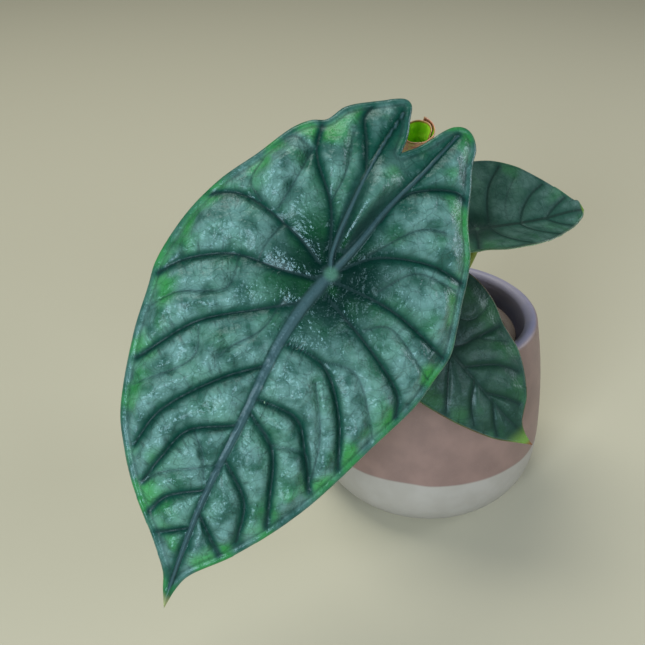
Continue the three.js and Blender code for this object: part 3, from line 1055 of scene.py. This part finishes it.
        # The dark mask: the veins' own dark, partly painted shade of their grooves, with painted
        # shade in the groove inside the rim, in the crease along each rib's edge and in the valleys
        # either side of the tongue.
        groove = 0.75 * hump(f["lateral"], 0.3) + 0.12 * hump(f["lateral"], 1.0)
        dark = np.maximum.reduce([
            groove * (0.45 + 0.55 * f["taper"]),
            0.7 * hump(f["minor"], 0.34),
            0.5 * hump(f["margin"] - self.rim_width * 1.25, self.rim_width * 0.3),
            0.7 * hump(f["rib"] - 1.15, 0.22),
            0.85 * open_ground * np.clip(tongue - hump(f["tongue"], 0.8), 0, 1),
        ])
        end = self.left[-1][0]
        fading = (1 - ease(f["near"] / f["half"], 0.55, 0.9)) * (1 - ease(f["near"], 2, 7))
        store(
            piece,
            # Painted highlight: extra silver along the tongue's crest.
            puff=puff * (0.35 + 0.65 * open_ground) + 0.42 * hump(f["tongue"], 0.85),
            vein=dark * self.vein_shade,
            rib=0.92 * hump(f["rib"], 1.02, 8),
            tip=np.clip((uv[:, 0] - self.tip_from) / (end - self.tip_from), 0, 1),
            margin=f["margin"],
            reach=f["reach"],
            along=f["along"],
            near=f["near"],
            folded=fading * f["between"],
            face=np.where(is_over, Face.OVER.value, Face.UNDER.value),
        )

    def build(self) -> bpy.types.Object:
        """Makes the blade's closed mesh and its attributes.

        Returns:
            The finished blade.
        """
        edge = self.edge()
        centre = [self.CENTRE_RING]
        inner = self.INNER_REACH * np.linspace(0, 1, self.rings)[1:] ** self.CROWDING
        over_scales = np.concatenate([centre, inner, self.RIM_RINGS])
        under_scales = np.concatenate([centre, inner[::4][1:], self.RIM_RINGS[::2]])
        scales = np.concatenate([under_scales, [1.0], over_scales[::-1]])
        uv = (scales[:, None, None] * edge).reshape(-1, 2)
        f = self.fields(uv, edge)
        over, under = self.relief(f, uv)
        is_over = np.repeat(np.arange(len(scales)) > len(under_scales), len(edge))
        lift = np.where(is_over, over, under)
        rim = slice(len(under_scales) * len(edge), (len(under_scales) + 1) * len(edge))
        lift[rim] = (over[rim] + under[rim]) / 2
        wave = self.MARGIN_WAVE * np.sin(f["along"] * 0.37) * hump(f["margin"], 6.0)
        local = np.column_stack([uv, self.height(uv) + lift + wave])

        along = Vector(self.midrib).normalized()
        across = Vector(self.normal).cross(along).normalized()
        axes = np.array([along, across, along.cross(across)])
        points = (local @ axes + np.array(self.joint)) * MM
        piece = closed_skin(f"{self.name}_skin", points.reshape(len(scales), len(edge), 3))
        self.mark(piece, f, uv, is_over)
        hand_over(piece, self.finish, "mature_leaf", self.name)
        return piece


FRONT_BLADE = LeafBlade(
    name="front_leaf_blade",
    finish=MATURE_LEAF,
    joint=(-39.5, -86, 136),
    midrib=(-0.4846, -0.4759, -0.7339),
    normal=(0.0598, -0.8551, 0.515),
    left=(
        (-39.5, 1), (-44.5, 0.4), (-49, -1.2), (-53.4, -2.9), (-54.2, -5), (-50, -11.4),
        (-43.5, -19), (-37.8, -21.8), (-35.6, -25.4), (-31.5, -28.8), (-20, -34), (-8, -40),
        (5, -43.6), (20, -44.4), (27, -42.8), (41, -39.8), (61, -32.6), (70, -26.2),
        (77, -20), (88.5, -6.8), (95, -0.4), (99.5, 2), (104.5, 5),
    ),
    right=(
        (-39.5, 1), (-43.6, 4.3), (-48, 6.8), (-51, 8.3), (-54.2, 10.6), (-55.8, 13.6),
        (-55.2, 16.4), (-52, 19.3), (-47.5, 20.4), (-41, 23.3), (-32, 27), (-24, 32.4),
        (-17, 35.2), (-12, 36.6), (-4.4, 39.2), (3.3, 41.3), (11, 40.5), (19, 39.6),
        (36, 34.1), (61, 25.7), (81, 15), (92.7, 6.5), (98, 5.2), (104.5, 5),
    ),
    ribs=(
        ((0, 0), (10, -2.2), (24, -3.2), (46, -1.8), (65, -1), (80, 0.5), (103, 4.3)),
        ((0, 0), (-4.3, -2.2), (-21.7, -4.4), (-37.4, -4.7), (-50, -3.9)),
        ((0, 0), (-9.4, 2.3), (-23.8, 5), (-38.9, 9.3), (-52.5, 12.6)),
    ),
    laterals=(
        ((-4, -2.7), (-9.8, -5.4), (-17, -9.5), (-27.4, -19.4), (-36, -22.3)),
        ((-1, -4), (-5, -14), (-7.7, -31.7), (-3.5, -41)),
        ((3, -2.7), (5.6, -13), (8, -26), (15.8, -37.3), (22.5, -42)),
        ((10.2, -2.7), (18, -12.6), (28.9, -25.7), (46, -35.6)),
        ((30.3, -3.4), (39.5, -12.6), (55.8, -22.9), (67, -24.5)),
        ((48.7, -2.8), (56.6, -13.6), (66, -16.2), (75, -17.6)),
        ((68, -0.8), (75.4, -9.8), (82, -12.1)),
        ((79.7, 0.4), (85.9, -7.6)),
        ((-19, 5), (-25.2, 5.8), (-30.6, 8.7), (-37.5, 19.4), (-37, 23.5)),
        ((-1, 0.8), (-9.7, 8.6), (-15.9, 23.5), (-16.2, 34)),
        ((1.5, 0), (0.6, 20.2), (4.7, 39.6)),
        ((5, -1), (12.8, 19.7), (20.3, 33), (25.5, 35.5)),
        ((22.6, -3), (22.6, 9.8), (32.6, 20.7), (46, 28.2)),
        ((39.5, -2), (39.1, 11.2), (46, 17.5), (55.4, 24.4)),
        ((43.2, -1.8), (49.7, 9.2), (62.5, 15.6), (69.5, 18.6)),
        ((57.9, -1.2), (66.3, 9.7), (77.5, 13.4)),
        ((74.9, 0.2), (83, 10.9)),
        ((-29, -4.8), (-37, -9), (-43.6, -12.8), (-47, -12.4)),
    ),
    minors=(
        ((-9, -21.3), (-19.9, -20.9), (-27.4, -21)),
        ((-24, -31), (-29, -27.4), (-28, -20.8)),
        ((-8.7, -26.4), (-11.8, -31.6), (-19, -31.7)),
        ((6.8, -24.5), (16.6, -22.9), (24.6, -34.7), (31, -39)),
        ((30, -24.5), (37.4, -21.7), (53, -33)),
        ((-2.2, 13.6), (-11.8, 20.7), (-13.5, 33)),
        ((8.7, 15.7), (5, 21), (12, 38.5)),
        ((21.8, 9.4), (20.5, 18.9), (34, 33)),
        ((27.9, 10.7), (40.6, 19.3), (52, 23)),
        ((48.4, 8.8), (46.8, 18.8), (55, 23.5)),
        ((60, -0.9), (71, -15), (75, -17)),
        ((-9.3, 6.4), (-22.6, 15.5), (-25.8, 22)),
        ((-17, -9.5), (-27, -10), (-38, -13.5)),
        ((12, -8), (22, -9), (30, -14), (34, -16)),
        ((-6, -18), (2, -19.5), (6.5, -19)),
        ((55, -12.5), (59, -7.5), (66, -3)),
    ),
    across_radius=190,
    behind_radius=360,
    ahead_radius=840,
    seed=7,
)

UPPER_BLADE = LeafBlade(
    name="upper_leaf_blade",
    finish=SMALL_LEAF,
    joint=(13, -9, 113),
    midrib=(0.974, 0.213, 0.073),
    normal=(0, -0.326, 0.946),
    left=(
        (-13, 0), (-18.5, -3.5), (-20.5, -8), (-17, -12.6), (-9, -15), (-3, -15.4),
        (3, -17.3), (10, -17.6), (17, -16.2), (26, -11.2), (37, -2), (42.4, 2.8), (44, 5.6),
    ),
    right=(
        (-13, 0), (-19, 4), (-22, 9.5), (-19, 16), (-11, 21.6), (0, 24), (10, 24.2),
        (21, 21.3), (29.5, 16.8), (36, 12.6), (41.2, 9), (42.4, 9.2), (44, 5.6),
    ),
    ribs=(
        ((0, 0), (10, 0), (22, 1), (37, 4.2), (43, 5.4)),
        ((0, 0), (-9, -3), (-18, -8)),
        ((0, 0), (-10, 4), (-20, 11)),
    ),
    laterals=(
        ((-1, 1), (-4, 9), (-8, 20)),
        ((4.5, 0), (6.3, 8.9), (8.9, 15.1), (14.5, 21.5)),
        ((16.2, 0.3), (18.8, 5.2), (23.4, 10.4), (29.5, 14.5)),
        ((27, 1.8), (31, 5.5), (37, 9.5)),
        ((-1, -1), (-3, -8), (-5, -14)),
        ((4.5, 0), (7, -8), (13, -15.5)),
        ((16, 0.3), (20, -5), (27, -9.5)),
        ((27, 1.6), (31, -0.5), (36, -1.5)),
    ),
    minors=(
        ((12, 0), (13, 8), (19, 17)),
        ((11, 0), (14, -7), (20, -13)),
        ((-2, 8), (2, 15), (3, 21)),
    ),
    across_radius=math.inf,
    behind_radius=300,
    ahead_radius=300,
    fold=0.48,
    puff=0.3,
    wrinkle=0.1,
    rib_widths=(0.6, 0.4, 0.4),
    rib_height=0.0,
    keel=0.6,
    rim_width=0.7,
    vein_shade=0.6,
    tip_from=42.4,
    tongue=((-6, 0), (-11, 0.5)),
    edge_points=210,
    rings=66,
    seed=11,
)

LOWER_BLADE = LeafBlade(
    name="lower_leaf_blade",
    finish=LEAF_IN_PAINTED_SHADE,
    joint=(-3, -40, 88),
    midrib=(0.653, -0.381, -0.655),
    normal=(0.059, -0.837, 0.545),
    left=(
        (-14, 0), (-19.5, -4), (-22, -9), (-18.5, -15), (-9, -19.8), (3, -21.2), (14, -18.8),
        (27.5, -14.1), (40.6, -7.3), (47, -2), (51.6, 1.8),
    ),
    right=(
        (-14, 0), (-20, 4), (-23, 10), (-20, 17), (-13, 22), (-5, 24.2), (3.6, 23.8),
        (12.5, 21), (24, 18.7), (36, 11.6), (40.2, 6.6), (42.5, 4), (46.2, 2.4), (51.6, 1.8),
    ),
    ribs=(
        ((0, 0), (8.5, 0), (20.8, 0), (37, 0.4), (46, 1.7)),
        ((0, 0), (-9, -3.5), (-18, -9)),
        ((0, 0), (-10, 4), (-20, 11)),
    ),
    laterals=(
        ((-1, 1), (-5, 9), (-8, 21)),
        ((5.5, 0), (8, 4.5), (9.4, 9.9), (12, 19)),
        ((14.3, 0.2), (18, 5.7), (21.8, 10), (28, 14)),
        ((26, 0.3), (31, 4), (37, 7)),
        ((-1, -1), (-3, -9), (-4, -18)),
        ((6.5, 0), (11.8, -5.1), (17.1, -9.9), (22, -14.5)),
        ((20, 0), (25.5, -6), (32, -10)),
        ((30, 0.2), (36, -4), (40, -6)),
    ),
    minors=(
        ((9.4, 9.9), (13, 13), (18, 18)),
        ((-1, 8), (4, 13), (4, 21)),
        ((4, -8), (9, -12), (11, -18)),
    ),
    across_radius=140,
    behind_radius=240,
    ahead_radius=320,
    puff=1.3,
    wrinkle=0.7,
    rib_widths=(0.65, 0.45, 0.45),
    rib_height=0.0,
    keel=0.7,
    rim_width=0.7,
    vein_shade=0.65,
    tip_from=42,
    tongue=((-6, 0), (-11, 0.5)),
    edge_points=210,
    rings=66,
    seed=5,
)


# ---------------------------------------------------------------- stalks and sheets
@dataclass
class Stalk:
    """One smooth tapering leaf stalk along a given route."""

    name: str
    route: Sequence[Point3]
    base_radius: float
    tip_radius: float
    foot_flare: float = 0.18    # how much it swells where it leaves the stem
    top_flare: float = 0.12     # and where it meets the blade
    points: int = 48

    def build(self) -> bpy.types.Object:
        """Draws the route as a round curve and turns it to a mesh.

        Returns:
            The finished stalk.
        """
        path = smooth_curve(self.route, self.points) * MM
        name = f"{self.name}_skin"
        curve = bpy.data.curves.new(name, "CURVE")
        curve.dimensions = "3D"
        curve.bevel_depth = MM
        curve.bevel_resolution = 8
        curve.use_fill_caps = True
        spline = curve.splines.new("POLY")
        spline.points.add(len(path) - 1)
        for i, (point, place) in enumerate(zip(spline.points, path, strict=True)):
            share = i / (len(path) - 1)
            flare = 1 + self.foot_flare * hump(share, 0.08) + self.top_flare * hump(1 - share, 0.03)
            radius = self.base_radius + (self.tip_radius - self.base_radius) * share
            point.co = (*place, 1)
            point.radius = float(radius * flare)
        piece = bpy.data.objects.new(name, curve)
        bpy.context.scene.collection.objects.link(piece)
        pick(piece)
        bpy.ops.object.convert(target="MESH")
        piece = bpy.context.object
        with editing(piece):
            bpy.ops.mesh.select_all(action="SELECT")
            bpy.ops.mesh.remove_doubles(threshold=1e-6)
            face_outwards()
        bpy.ops.object.shade_smooth_by_angle(angle=math.radians(50))
        hand_over(piece, STALK, "leaf_stalk", self.name)
        return piece


def bent_sheet(
    name: str, around: int, up: int, thickness: float, place: object
) -> tuple[bpy.types.Object, dict[str, np.ndarray]]:
    """Makes a thin curved sheet with rounded free edges.

    Args:
        name: the piece's name.
        around: points across the sheet.
        up: points up the sheet.
        thickness: its thickness in millimetres.
        place: takes turn, rise and lift arrays and gives points in millimetres.

    Returns:
        The piece, and the turn, rise and face of its points.
    """
    turn, rise = np.meshgrid(np.linspace(0, 1, around), np.linspace(0, 1, up))
    # The sheet rounds off over its last three points.
    edge = np.minimum.reduce([turn, 1 - turn, 1 - rise]) * around
    lift = thickness / 2 * np.sqrt(np.clip(0.15 + edge / 3, 0, 1))
    rows = np.concatenate([place(turn, rise, lift), place(turn, rise, -lift)[:, ::-1]], axis=1)
    piece = closed_skin(name, rows * MM, closed=False)
    faces = [np.full_like(turn, face.value) for face in (Face.OVER, Face.UNDER)]
    measures = {"turn": (turn, turn[:, ::-1]), "rise": (rise, rise), "face": faces}
    return piece, {key: np.concatenate(pair, axis=1).ravel() for key, pair in measures.items()}


@dataclass
class RolledLeaf:
    """The newest leaf, still rolled into a narrow funnel with its outer edge lapped over."""

    name: str = "young_leaf"
    foot: Point3 = (-17, -29, 131)
    mouth: Point3 = (-13.9, -47, 162.8)
    foot_radius: float = 1.6
    mouth_radius: float = 3.9
    lap: float = 1.2
    turns: float = 1.22
    start: float = 1.22
    slant: float = 1.1
    slant_angle: float = 1.3    # the mouth's highest side, in front and to the right
    thickness: float = 0.45
    around: int = 110           # points across the sheet
    up: int = 56

    def place(self, turn: np.ndarray, rise: np.ndarray, lift: np.ndarray) -> np.ndarray:
        """Where a place on the sheet lies once it is rolled.

        Args:
            turn: 0 to 1 around the roll.
            rise: 0 to 1 from foot to mouth.
            lift: how far off the middle of the sheet, in millimetres.

        Returns:
            Points in millimetres.
        """
        foot, mouth = np.array(self.foot), np.array(self.mouth)
        length = np.linalg.norm(mouth - foot)
        axis = (mouth - foot) / length
        sideways = np.cross([0, 0, 1], axis)
        sideways /= np.linalg.norm(sideways)
        forward = np.cross(sideways, axis)
        angle = 2 * math.pi * self.turns * turn + self.start
        opened = self.foot_radius + (self.mouth_radius - self.foot_radius) * rise**0.8
        ripple = 0.05 * np.sin(7 * angle) * rise**3
        radius = opened + self.lap * turn * (0.35 + 0.65 * rise) + lift + ripple
        slant = self.slant * rise * np.cos(angle - self.slant_angle)
        slant = slant + 0.7 * rise**4 * hump(1 - turn, 0.05)
        return (
            foot
            + axis * (length * rise + slant)[..., None]
            + sideways * (radius * np.sin(angle))[..., None]
            + forward * (radius * np.cos(angle))[..., None]
        )

    def build(self) -> bpy.types.Object:
        """Rolls the sheet and marks its faces and free edges.

        Returns:
            The finished leaf.
        """
        name = f"{self.name}_skin"
        piece, at = bent_sheet(name, self.around, self.up, self.thickness, self.place)
        length = np.linalg.norm(np.array(self.mouth) - np.array(self.foot))
        girth = 2 * math.pi * self.turns * self.mouth_radius
        margin = np.minimum((1 - at["rise"]) * length, (1 - at["turn"]) * girth)
        store(
            piece,
            margin=np.minimum(margin, at["turn"] * girth),
            lapped=ease(at["turn"], 0.82, 0.9),
            face=at["face"],
        )
        hand_over(piece, YOUNG_LEAF, "young_leaf", self.name)
        return piece


@dataclass
class Cataphyll:
    """A dry papery sheath standing at the foot of the stalks."""

    name: str
    start: float
    sweep: float
    radius: float
    height: float
    flare: float
    seed: int
    thickness: float = 0.45
    around: int = 40
    up: int = 36

    def place(self, turn: np.ndarray, rise: np.ndarray, lift: np.ndarray) -> np.ndarray:
        """Where a place on the sheath lies: a narrowing strip with long dry folds.

        Args:
            turn: 0 to 1 across the sheath.
            rise: 0 to 1 from foot to top.
            lift: how far off the middle of the sheet, in millimetres.

        Returns:
            Points in millimetres.
        """
        grain = Grain(self.seed)
        narrow = 1 - 0.8 * rise**2
        angle = np.radians(self.start + self.sweep * (0.5 + (turn - 0.5) * narrow))
        fold = 0.7 * (grain.at(turn * 7, rise * 1.5) - 0.5) * (0.3 + rise)
        out = self.radius + self.flare * rise**2 + fold + lift
        ragged = 1.5 * (grain.at(turn * 11 + 30, 0 * rise) - 0.5) * rise**3
        low = node_box(self.name)[0][2] / MM
        return np.stack(
            [out * np.cos(angle), out * np.sin(angle), low + self.height * rise + ragged], axis=-1
        )

    def build(self) -> bpy.types.Object:
        """Bends the sheath round the stalks.

        Returns:
            The finished sheath.
        """
        name = f"{self.name}_skin"
        piece, _ = bent_sheet(name, self.around, self.up, self.thickness, self.place)
        hand_over(piece, DRY_SHEATH, "dry_cataphyll", self.name)
        return piece


# ---------------------------------------------------------------- pots and mix
@dataclass
class CoverPot:
    """The stoneware pot: a rounded bowl, a slow taper and a rolled lip, thrown in one piece."""

    name: str = "cover_pot"
    foot_radius: float = 0.0325
    lip_radius: float = 0.0396
    widest_height: float = 0.025
    wall: float = 0.005
    floor: float = 0.007
    floor_curve: float = 0.004  # how high the inside corner is rounded
    bowl_power: float = 1.35    # higher makes the bowl fuller near the foot
    segments: int = 144
    outer_rings: int = 40
    inner_rings: int = 24
    lip_rings: int = 12

    def shoulder(self) -> float:
        """The height where the wall rolls over into the lip, in metres."""
        return node_box(self.name)[1][2] - self.wall / 2

    def outer_radius(self, z: float) -> float:
        """The outside radius at a height.

        Args:
            z: the height, in metres.

        Returns:
            The radius, in metres.
        """
        low, high = node_box(self.name)
        radius, top = (high[0] - low[0]) / 2, high[2]
        if z < self.widest_height:
            drop = 1 - z / self.widest_height
            bulge = (1 - drop ** (self.bowl_power + 1)) ** (1 / self.bowl_power)
            return self.foot_radius + (radius - self.foot_radius) * bulge
        rise = (z - self.widest_height) / (top - self.widest_height)
        return radius + (self.lip_radius - radius) * rise**2

    def profile(self) -> list[Point2]:
        """Draws half the pot's section: up the outside, over the lip and down the inside.

        Returns:
            Radius and height of each ring, in metres.
        """
        lip, shoulder, floor = self.wall / 2, self.shoulder(), self.floor
        rings = [
            (self.outer_radius(z), z)
            for z in (shoulder * (i / self.outer_rings) ** 1.5 for i in range(self.outer_rings + 1))
        ]
        centre = self.outer_radius(shoulder) - lip
        for i in range(1, self.lip_rings):
            angle = math.pi * i / self.lip_rings
            rings.append((centre + lip * math.cos(angle), shoulder + lip * math.sin(angle)))
        drop = floor + self.floor_curve - shoulder
        for i in range(self.inner_rings + 1):
            z = shoulder + drop * i / self.inner_rings
            rings.append((self.outer_radius(z) - self.wall, z))
        inner = self.outer_radius(floor + 0.001) - self.wall - 0.002
        return [*rings, (inner, floor + 0.001), (inner - 0.003, floor), (0.01, floor)]

    def build(self) -> bpy.types.Object:
        """Throws the pot and marks the glaze of its mouth.

        Returns:
            The finished pot.
        """
        piece = throw(f"{self.name}_body", self.segments, self.profile())
        bpy.ops.object.shade_smooth_by_angle(angle=math.radians(40))
        spots = np.array([v.co for v in piece.data.vertices])
        outer = np.array([self.outer_radius(min(z, self.shoulder())) for z in spots[:, 2]])
        depth = (outer - np.hypot(spots[:, 0], spots[:, 1])) / MM
        store(piece, mouth=ease(depth, 0.2, 1.6) * (spots[:, 2] > self.floor - 1e-5))
        hand_over(piece, STONEWARE, "two_tone_stoneware", self.name)
        return piece


@dataclass
class NurseryPot:
    """The thin moulded pot that the plant grows in, with drain holes in its base."""

    name: str = "nursery_pot"
    wall: float = 0.0009
    base_radius: float = 0.023
    top_radius: float = 0.0302
    rim_height: float = 0.005
    hole_radius: float = 0.003
    hole_circle: float = 0.014
    holes: int = 5
    segments: int = 120

    def build(self) -> bpy.types.Object:
        """Draws the shell with its turned-out rim, then cuts the holes.

        Returns:
            The finished pot.
        """
        low, high = node_box(self.name)
        base, top, rim = low[2], high[2], high[0]
        under = top - self.rim_height
        slope = (self.top_radius - self.base_radius) / (top - base)
        neck = self.base_radius + slope * (under - base)
        floor_radius = self.base_radius - self.wall
        profile = [
            # up the outside
            (self.base_radius, base), (self.base_radius + 0.0006, base + 0.001), (neck, under),
            # round the rolled rim
            (neck + 0.0003, under + 0.0002), (rim - 0.0004, under + 0.0003), (rim, under + 0.0008),
            (rim, top - 0.0008), (rim - 0.0003, top - 0.0002), (rim - 0.0009, top),
            (self.top_radius, top),
            # down the inside and over the floor
            (self.top_radius - self.wall, top - 0.0005), (floor_radius + 0.0006, base + 0.002),
            (floor_radius, base + self.wall), (0.002, base + self.wall),
        ]
        piece = throw(f"{self.name}_shell", self.segments, profile)
        for i in range(self.holes):
            angle = 2 * math.pi * i / self.holes
            x, y = self.hole_circle * math.cos(angle), self.hole_circle * math.sin(angle)
            drill = start_piece(
                bpy.ops.mesh.primitive_cylinder_add, "drill", vertices=24, radius=self.hole_radius,
                depth=0.01, location=(x, y, base),
            )
            bpy.context.view_layer.objects.active = piece
            cut = piece.modifiers.new("drain", "BOOLEAN")
            cut.operation, cut.solver, cut.object = "DIFFERENCE", "EXACT", drill
            bpy.ops.object.modifier_apply(modifier=cut.name)
            bpy.data.objects.remove(drill)
        pick(piece)
        bpy.ops.object.shade_smooth_by_angle(angle=math.radians(35))
        hand_over(piece, NURSERY_PLASTIC, "nursery_plastic", self.name)
        return piece


@dataclass
class PottingMix:
    """The mix: one crumbly fill, with loose crumbs, bark chips and perlite on top of it."""

    name: str = "potting_mix"
    segments: int = 120
    crown: float = 0.0015       # how far the top rises above its rim
    dish: float = 0.0012        # how far it sinks again from the stem to the rim
    dish_radius: float = 0.022
    lump_height: float = 0.0006
    lump_size: float = 0.004
    foot_share: float = 0.77    # width of its foot against its top
    top_rings: int = 34
    each_grain: int = 5
    sunk: float = 0.0004        # how deep the chips and grains sit
    crumbs: int = 520
    crumb_sizes: tuple[float, float] = (0.0004, 0.0013)
    bare_radius: float = 0.0095  # no crumbs lie nearer the stem
    knobbliness: float = 0.2    # how far a grain's bumps stand out, against its radius
    seed: int = 21

    def surface(self, x: float, y: float) -> float:
        """Height of the fill's top at a place.

        Args:
            x: across, in metres.
            y: along, in metres.

        Returns:
            The height, in metres.
        """
        top = node_box(self.name)[1][2]
        slope = self.dish * min(1.0, math.hypot(x, y) / self.dish_radius)
        bumps = noise.fractal(Vector((x, y, 0.3)) / self.lump_size, 1.0, 2.0, 3)
        return top - slope + self.lump_height * (bumps - 1)

    def fill(self) -> bpy.types.Object:
        """Draws up the fill and roughens its top.

        Returns:
            The finished fill.
        """
        low, high = node_box(self.name)
        base, top, radius = low[2], high[2] - self.crown, high[0]
        rings = [(radius * (1 - i / self.top_rings), top) for i in range(self.top_rings)]
        profile = [(radius * self.foot_share, base), *rings]
        piece = throw(f"{self.name}_fill", self.segments, profile)
        for vertex in piece.data.vertices:
            x, y, z = vertex.co
            if z > top - 1e-5 and math.hypot(x, y) < radius - 1e-4:
                vertex.co.z = self.surface(x, y)
        bpy.ops.object.shade_smooth_by_angle(angle=math.radians(60))
        hand_over(piece, PEAT, "potting_mix", self.name)
        return piece

    def knob(self, name: str, size: Point3, place: Point3, spin: float, level: int) -> object:
        """Models one knobbly grain.

        Args:
            name: the piece's name.
            size: half its length, width and height, in metres.
            place: its middle.
            spin: its turn about Z and the seed of its bumps.
            level: how finely the starting ball is cut.

        Returns:
            The grain, with its place in its mesh.
        """
        piece = start_piece(
            bpy.ops.mesh.primitive_ico_sphere_add, name, subdivisions=level, radius=1,
            location=(0, 0, 0),
        )
        for vertex in piece.data.vertices:
            away = vertex.co.normalized()
            bump = noise.fractal(away * 1.6 + Vector((spin, 7, 3)), 1.0, 2.1, 3)
            vertex.co = away * (1 + self.knobbliness * bump)
        piece.scale = size
        piece.rotation_euler = (0, 0, spin)
        piece.location = place
        settle(piece)
        return piece

    def grains(self) -> None:
        """Models each bark chip and perlite grain where its CAD node lies."""
        kinds = (("bark_chip", BARK, "bark"), ("perlite_grain", PERLITE, "perlite"))
        for stem, finish, slot in kinds:
            for i in range(self.each_grain):
                node = f"{stem}_{i + 1}"
                low, high = (Vector(corner) for corner in node_box(node))
                middle = (low + high) / 2 - Vector((0, 0, self.sunk))
                half = (high - low) / 2 * (1.02 if finish is BARK else 1)
                piece = self.knob(f"{node}_lump", half, middle, 0.0, 4)
                with editing(piece):
                    bpy.ops.mesh.select_all(action="SELECT")
                    bpy.ops.mesh.vertices_smooth(factor=0.3)
                hand_over(piece, finish, slot, node)

    def scatter(self) -> None:
        """Models a few crumbs and copies them all over the fill, as one piece of each kind."""
        rng = np.random.default_rng(self.seed)
        kinds = (
            ("peat_crumbs", PEAT, "potting_mix", 0.72),
            ("bark_crumbs", BARK, "bark", 0.2),
            ("perlite_crumbs", PERLITE, "perlite", 0.08),
        )
        reach = node_box(self.name)[1][0] - 0.0012
        for name, finish, slot, share in kinds:
            first = self.knob(f"{name}_one", (1, 1, 1), (0, 0, 0), float(rng.random() * 9), 1)
            shape = np.array([v.co for v in first.data.vertices])
            faces = np.array([list(p.vertices) for p in first.data.polygons])
            bpy.data.objects.remove(first)
            points, polygons = [], []
            for _ in range(int(self.crumbs * share)):
                radius = reach * math.sqrt(rng.random())
                angle = rng.random() * 2 * math.pi
                size = rng.uniform(*self.crumb_sizes, 3) * (1, 0.8, 0.6)
                if radius < self.bare_radius:
                    continue
                x, y = radius * math.cos(angle), radius * math.sin(angle)
                turn = rng.random() * 2 * math.pi
                c, s = math.cos(turn), math.sin(turn)
                spun = shape * size @ np.array([[c, s, 0], [-s, c, 0], [0, 0, 1]])
                polygons.append(faces + len(shape) * len(points))
                points.append(spun + (x, y, self.surface(x, y) + size[2] * 0.4))
            piece = mesh_piece(name, np.vstack(points), np.vstack(polygons).tolist())
            hand_over(piece, finish, slot)

    def build(self) -> None:
        """Fills the pot and dresses the top."""
        self.fill()
        self.grains()
        self.scatter()


# ---------------------------------------------------------------- studio
@dataclass
class Studio:
    """Pale floor, soft lights and the camera."""

    camera_place: Point3 = (-0.0418, -0.3145, 0.2569)
    camera_pitch: float = 59.2
    lens_mm: float = 53.0
    room_tone: str = "#c9d0d4"
    room_strength: float = 0.12

    def soft_light(
        self, name: str, place: Point3, target: Point3, size: float, watts: float, tint: str
    ) -> None:
        """Hangs one square soft box.

        Args:
            name: the light's name.
            place: where it hangs, in metres.
            target: where it points.
            size: its side.
            watts: its power.
            tint: its colour.
        """
        data = bpy.data.lights.new(name, "AREA")
        data.size = size
        data.energy = watts
        data.color = colour(tint)[:3]
        light = bpy.data.objects.new(name, data)
        light.location = place
        away = Vector(place) - Vector(target)
        light.rotation_euler = away.to_track_quat("Z", "Y").to_euler()
        bpy.context.scene.collection.objects.link(light)

    def build(self) -> None:
        """Lays the floor, hangs the lights and sets the camera."""
        floor = start_piece(bpy.ops.mesh.primitive_plane_add, "floor", size=8, location=(0, 0, 0))
        FLOOR.wear(floor)
        world = bpy.data.worlds.new("pale_room")
        world.use_nodes = True
        background = world.node_tree.nodes["Background"]
        background.inputs["Color"].default_value = colour(self.room_tone)
        background.inputs["Strength"].default_value = self.room_strength
        scene = bpy.context.scene
        scene.world = world
        scene.view_settings.view_transform = "Standard"
        leaf = (-0.045, -0.08, 0.11)
        self.soft_light("window", (-0.54, -1.18, 0.48), leaf, 0.45, 20, "#e6f0ff")
        self.soft_light("front_fill", (0.75, -1.1, 0.55), leaf, 0.5, 6.5, "#eaf2ff")
        self.soft_light("side_window", (0.95, 0.18, 0.32), (0.03, 0, 0.05), 0.4, 4.5, "#eef2ff")
        self.soft_light("ceiling", (-0.35, 0.35, 1.3), (0, 0, 0), 0.9, 13.5, "#fffdf8")
        data = bpy.data.cameras.new("camera")
        data.lens = self.lens_mm
        data.clip_start = 0.01
        camera = bpy.data.objects.new("camera", data)
        camera.location = self.camera_place
        camera.rotation_euler = (math.radians(self.camera_pitch), 0, 0)
        scene.collection.objects.link(camera)
        scene.camera = camera


STALKS = (
    Stalk("front_leaf_petiole", (
        (-4.5, -2.6, 61.5), (-7, -4.5, 73), (-19, -15, 96), (-28, -36, 116),
        (-40.04, -78.3, 131.4), (-39.54, -85.5, 135.7),
    ), 3.3, 2.2),
    Stalk("upper_leaf_petiole", (
        (4.6, -0.6, 61.5), (5.6, -1.2, 72), (9, -5, 92), (13, -6.07, 104.5), (13, -8.85, 112.6),
    ), 2.4, 1.6),
    Stalk("lower_leaf_petiole", (
        (0.4, -4.8, 61.5), (0, -8.5, 70), (-1, -20, 79.5), (-3.53, -32.5, 83.1),
        (-3.03, -39.6, 87.7),
    ), 2.3, 1.6),
    Stalk("young_leaf_petiole", (
        (-2.6, 4.2, 61.5), (-4, 4, 72), (-13, -2, 96), (-18, -18, 114), (-17, -29, 131.4),
    ), 2.3, 1.7),
)
SHEATHS = (
    Cataphyll("back_cataphyll", 15, 80, 9.3, 22, 1.5, 3),
    Cataphyll("side_cataphyll", 100, 62, 10, 15, 3, 4),
)


def main() -> None:
    """Builds every piece in order, then the studio."""
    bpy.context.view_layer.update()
    CoverPot().build()
    NurseryPot().build()
    PottingMix().build()
    STEM.wear(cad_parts["rhizome_and_roots"])
    for part in (*STALKS, *SHEATHS, RolledLeaf(), FRONT_BLADE, UPPER_BLADE, LOWER_BLADE):
        part.build()
    Studio().build()


if __name__ == "__main__":
    logging.basicConfig(level=logging.INFO, format="%(message)s")
    main()
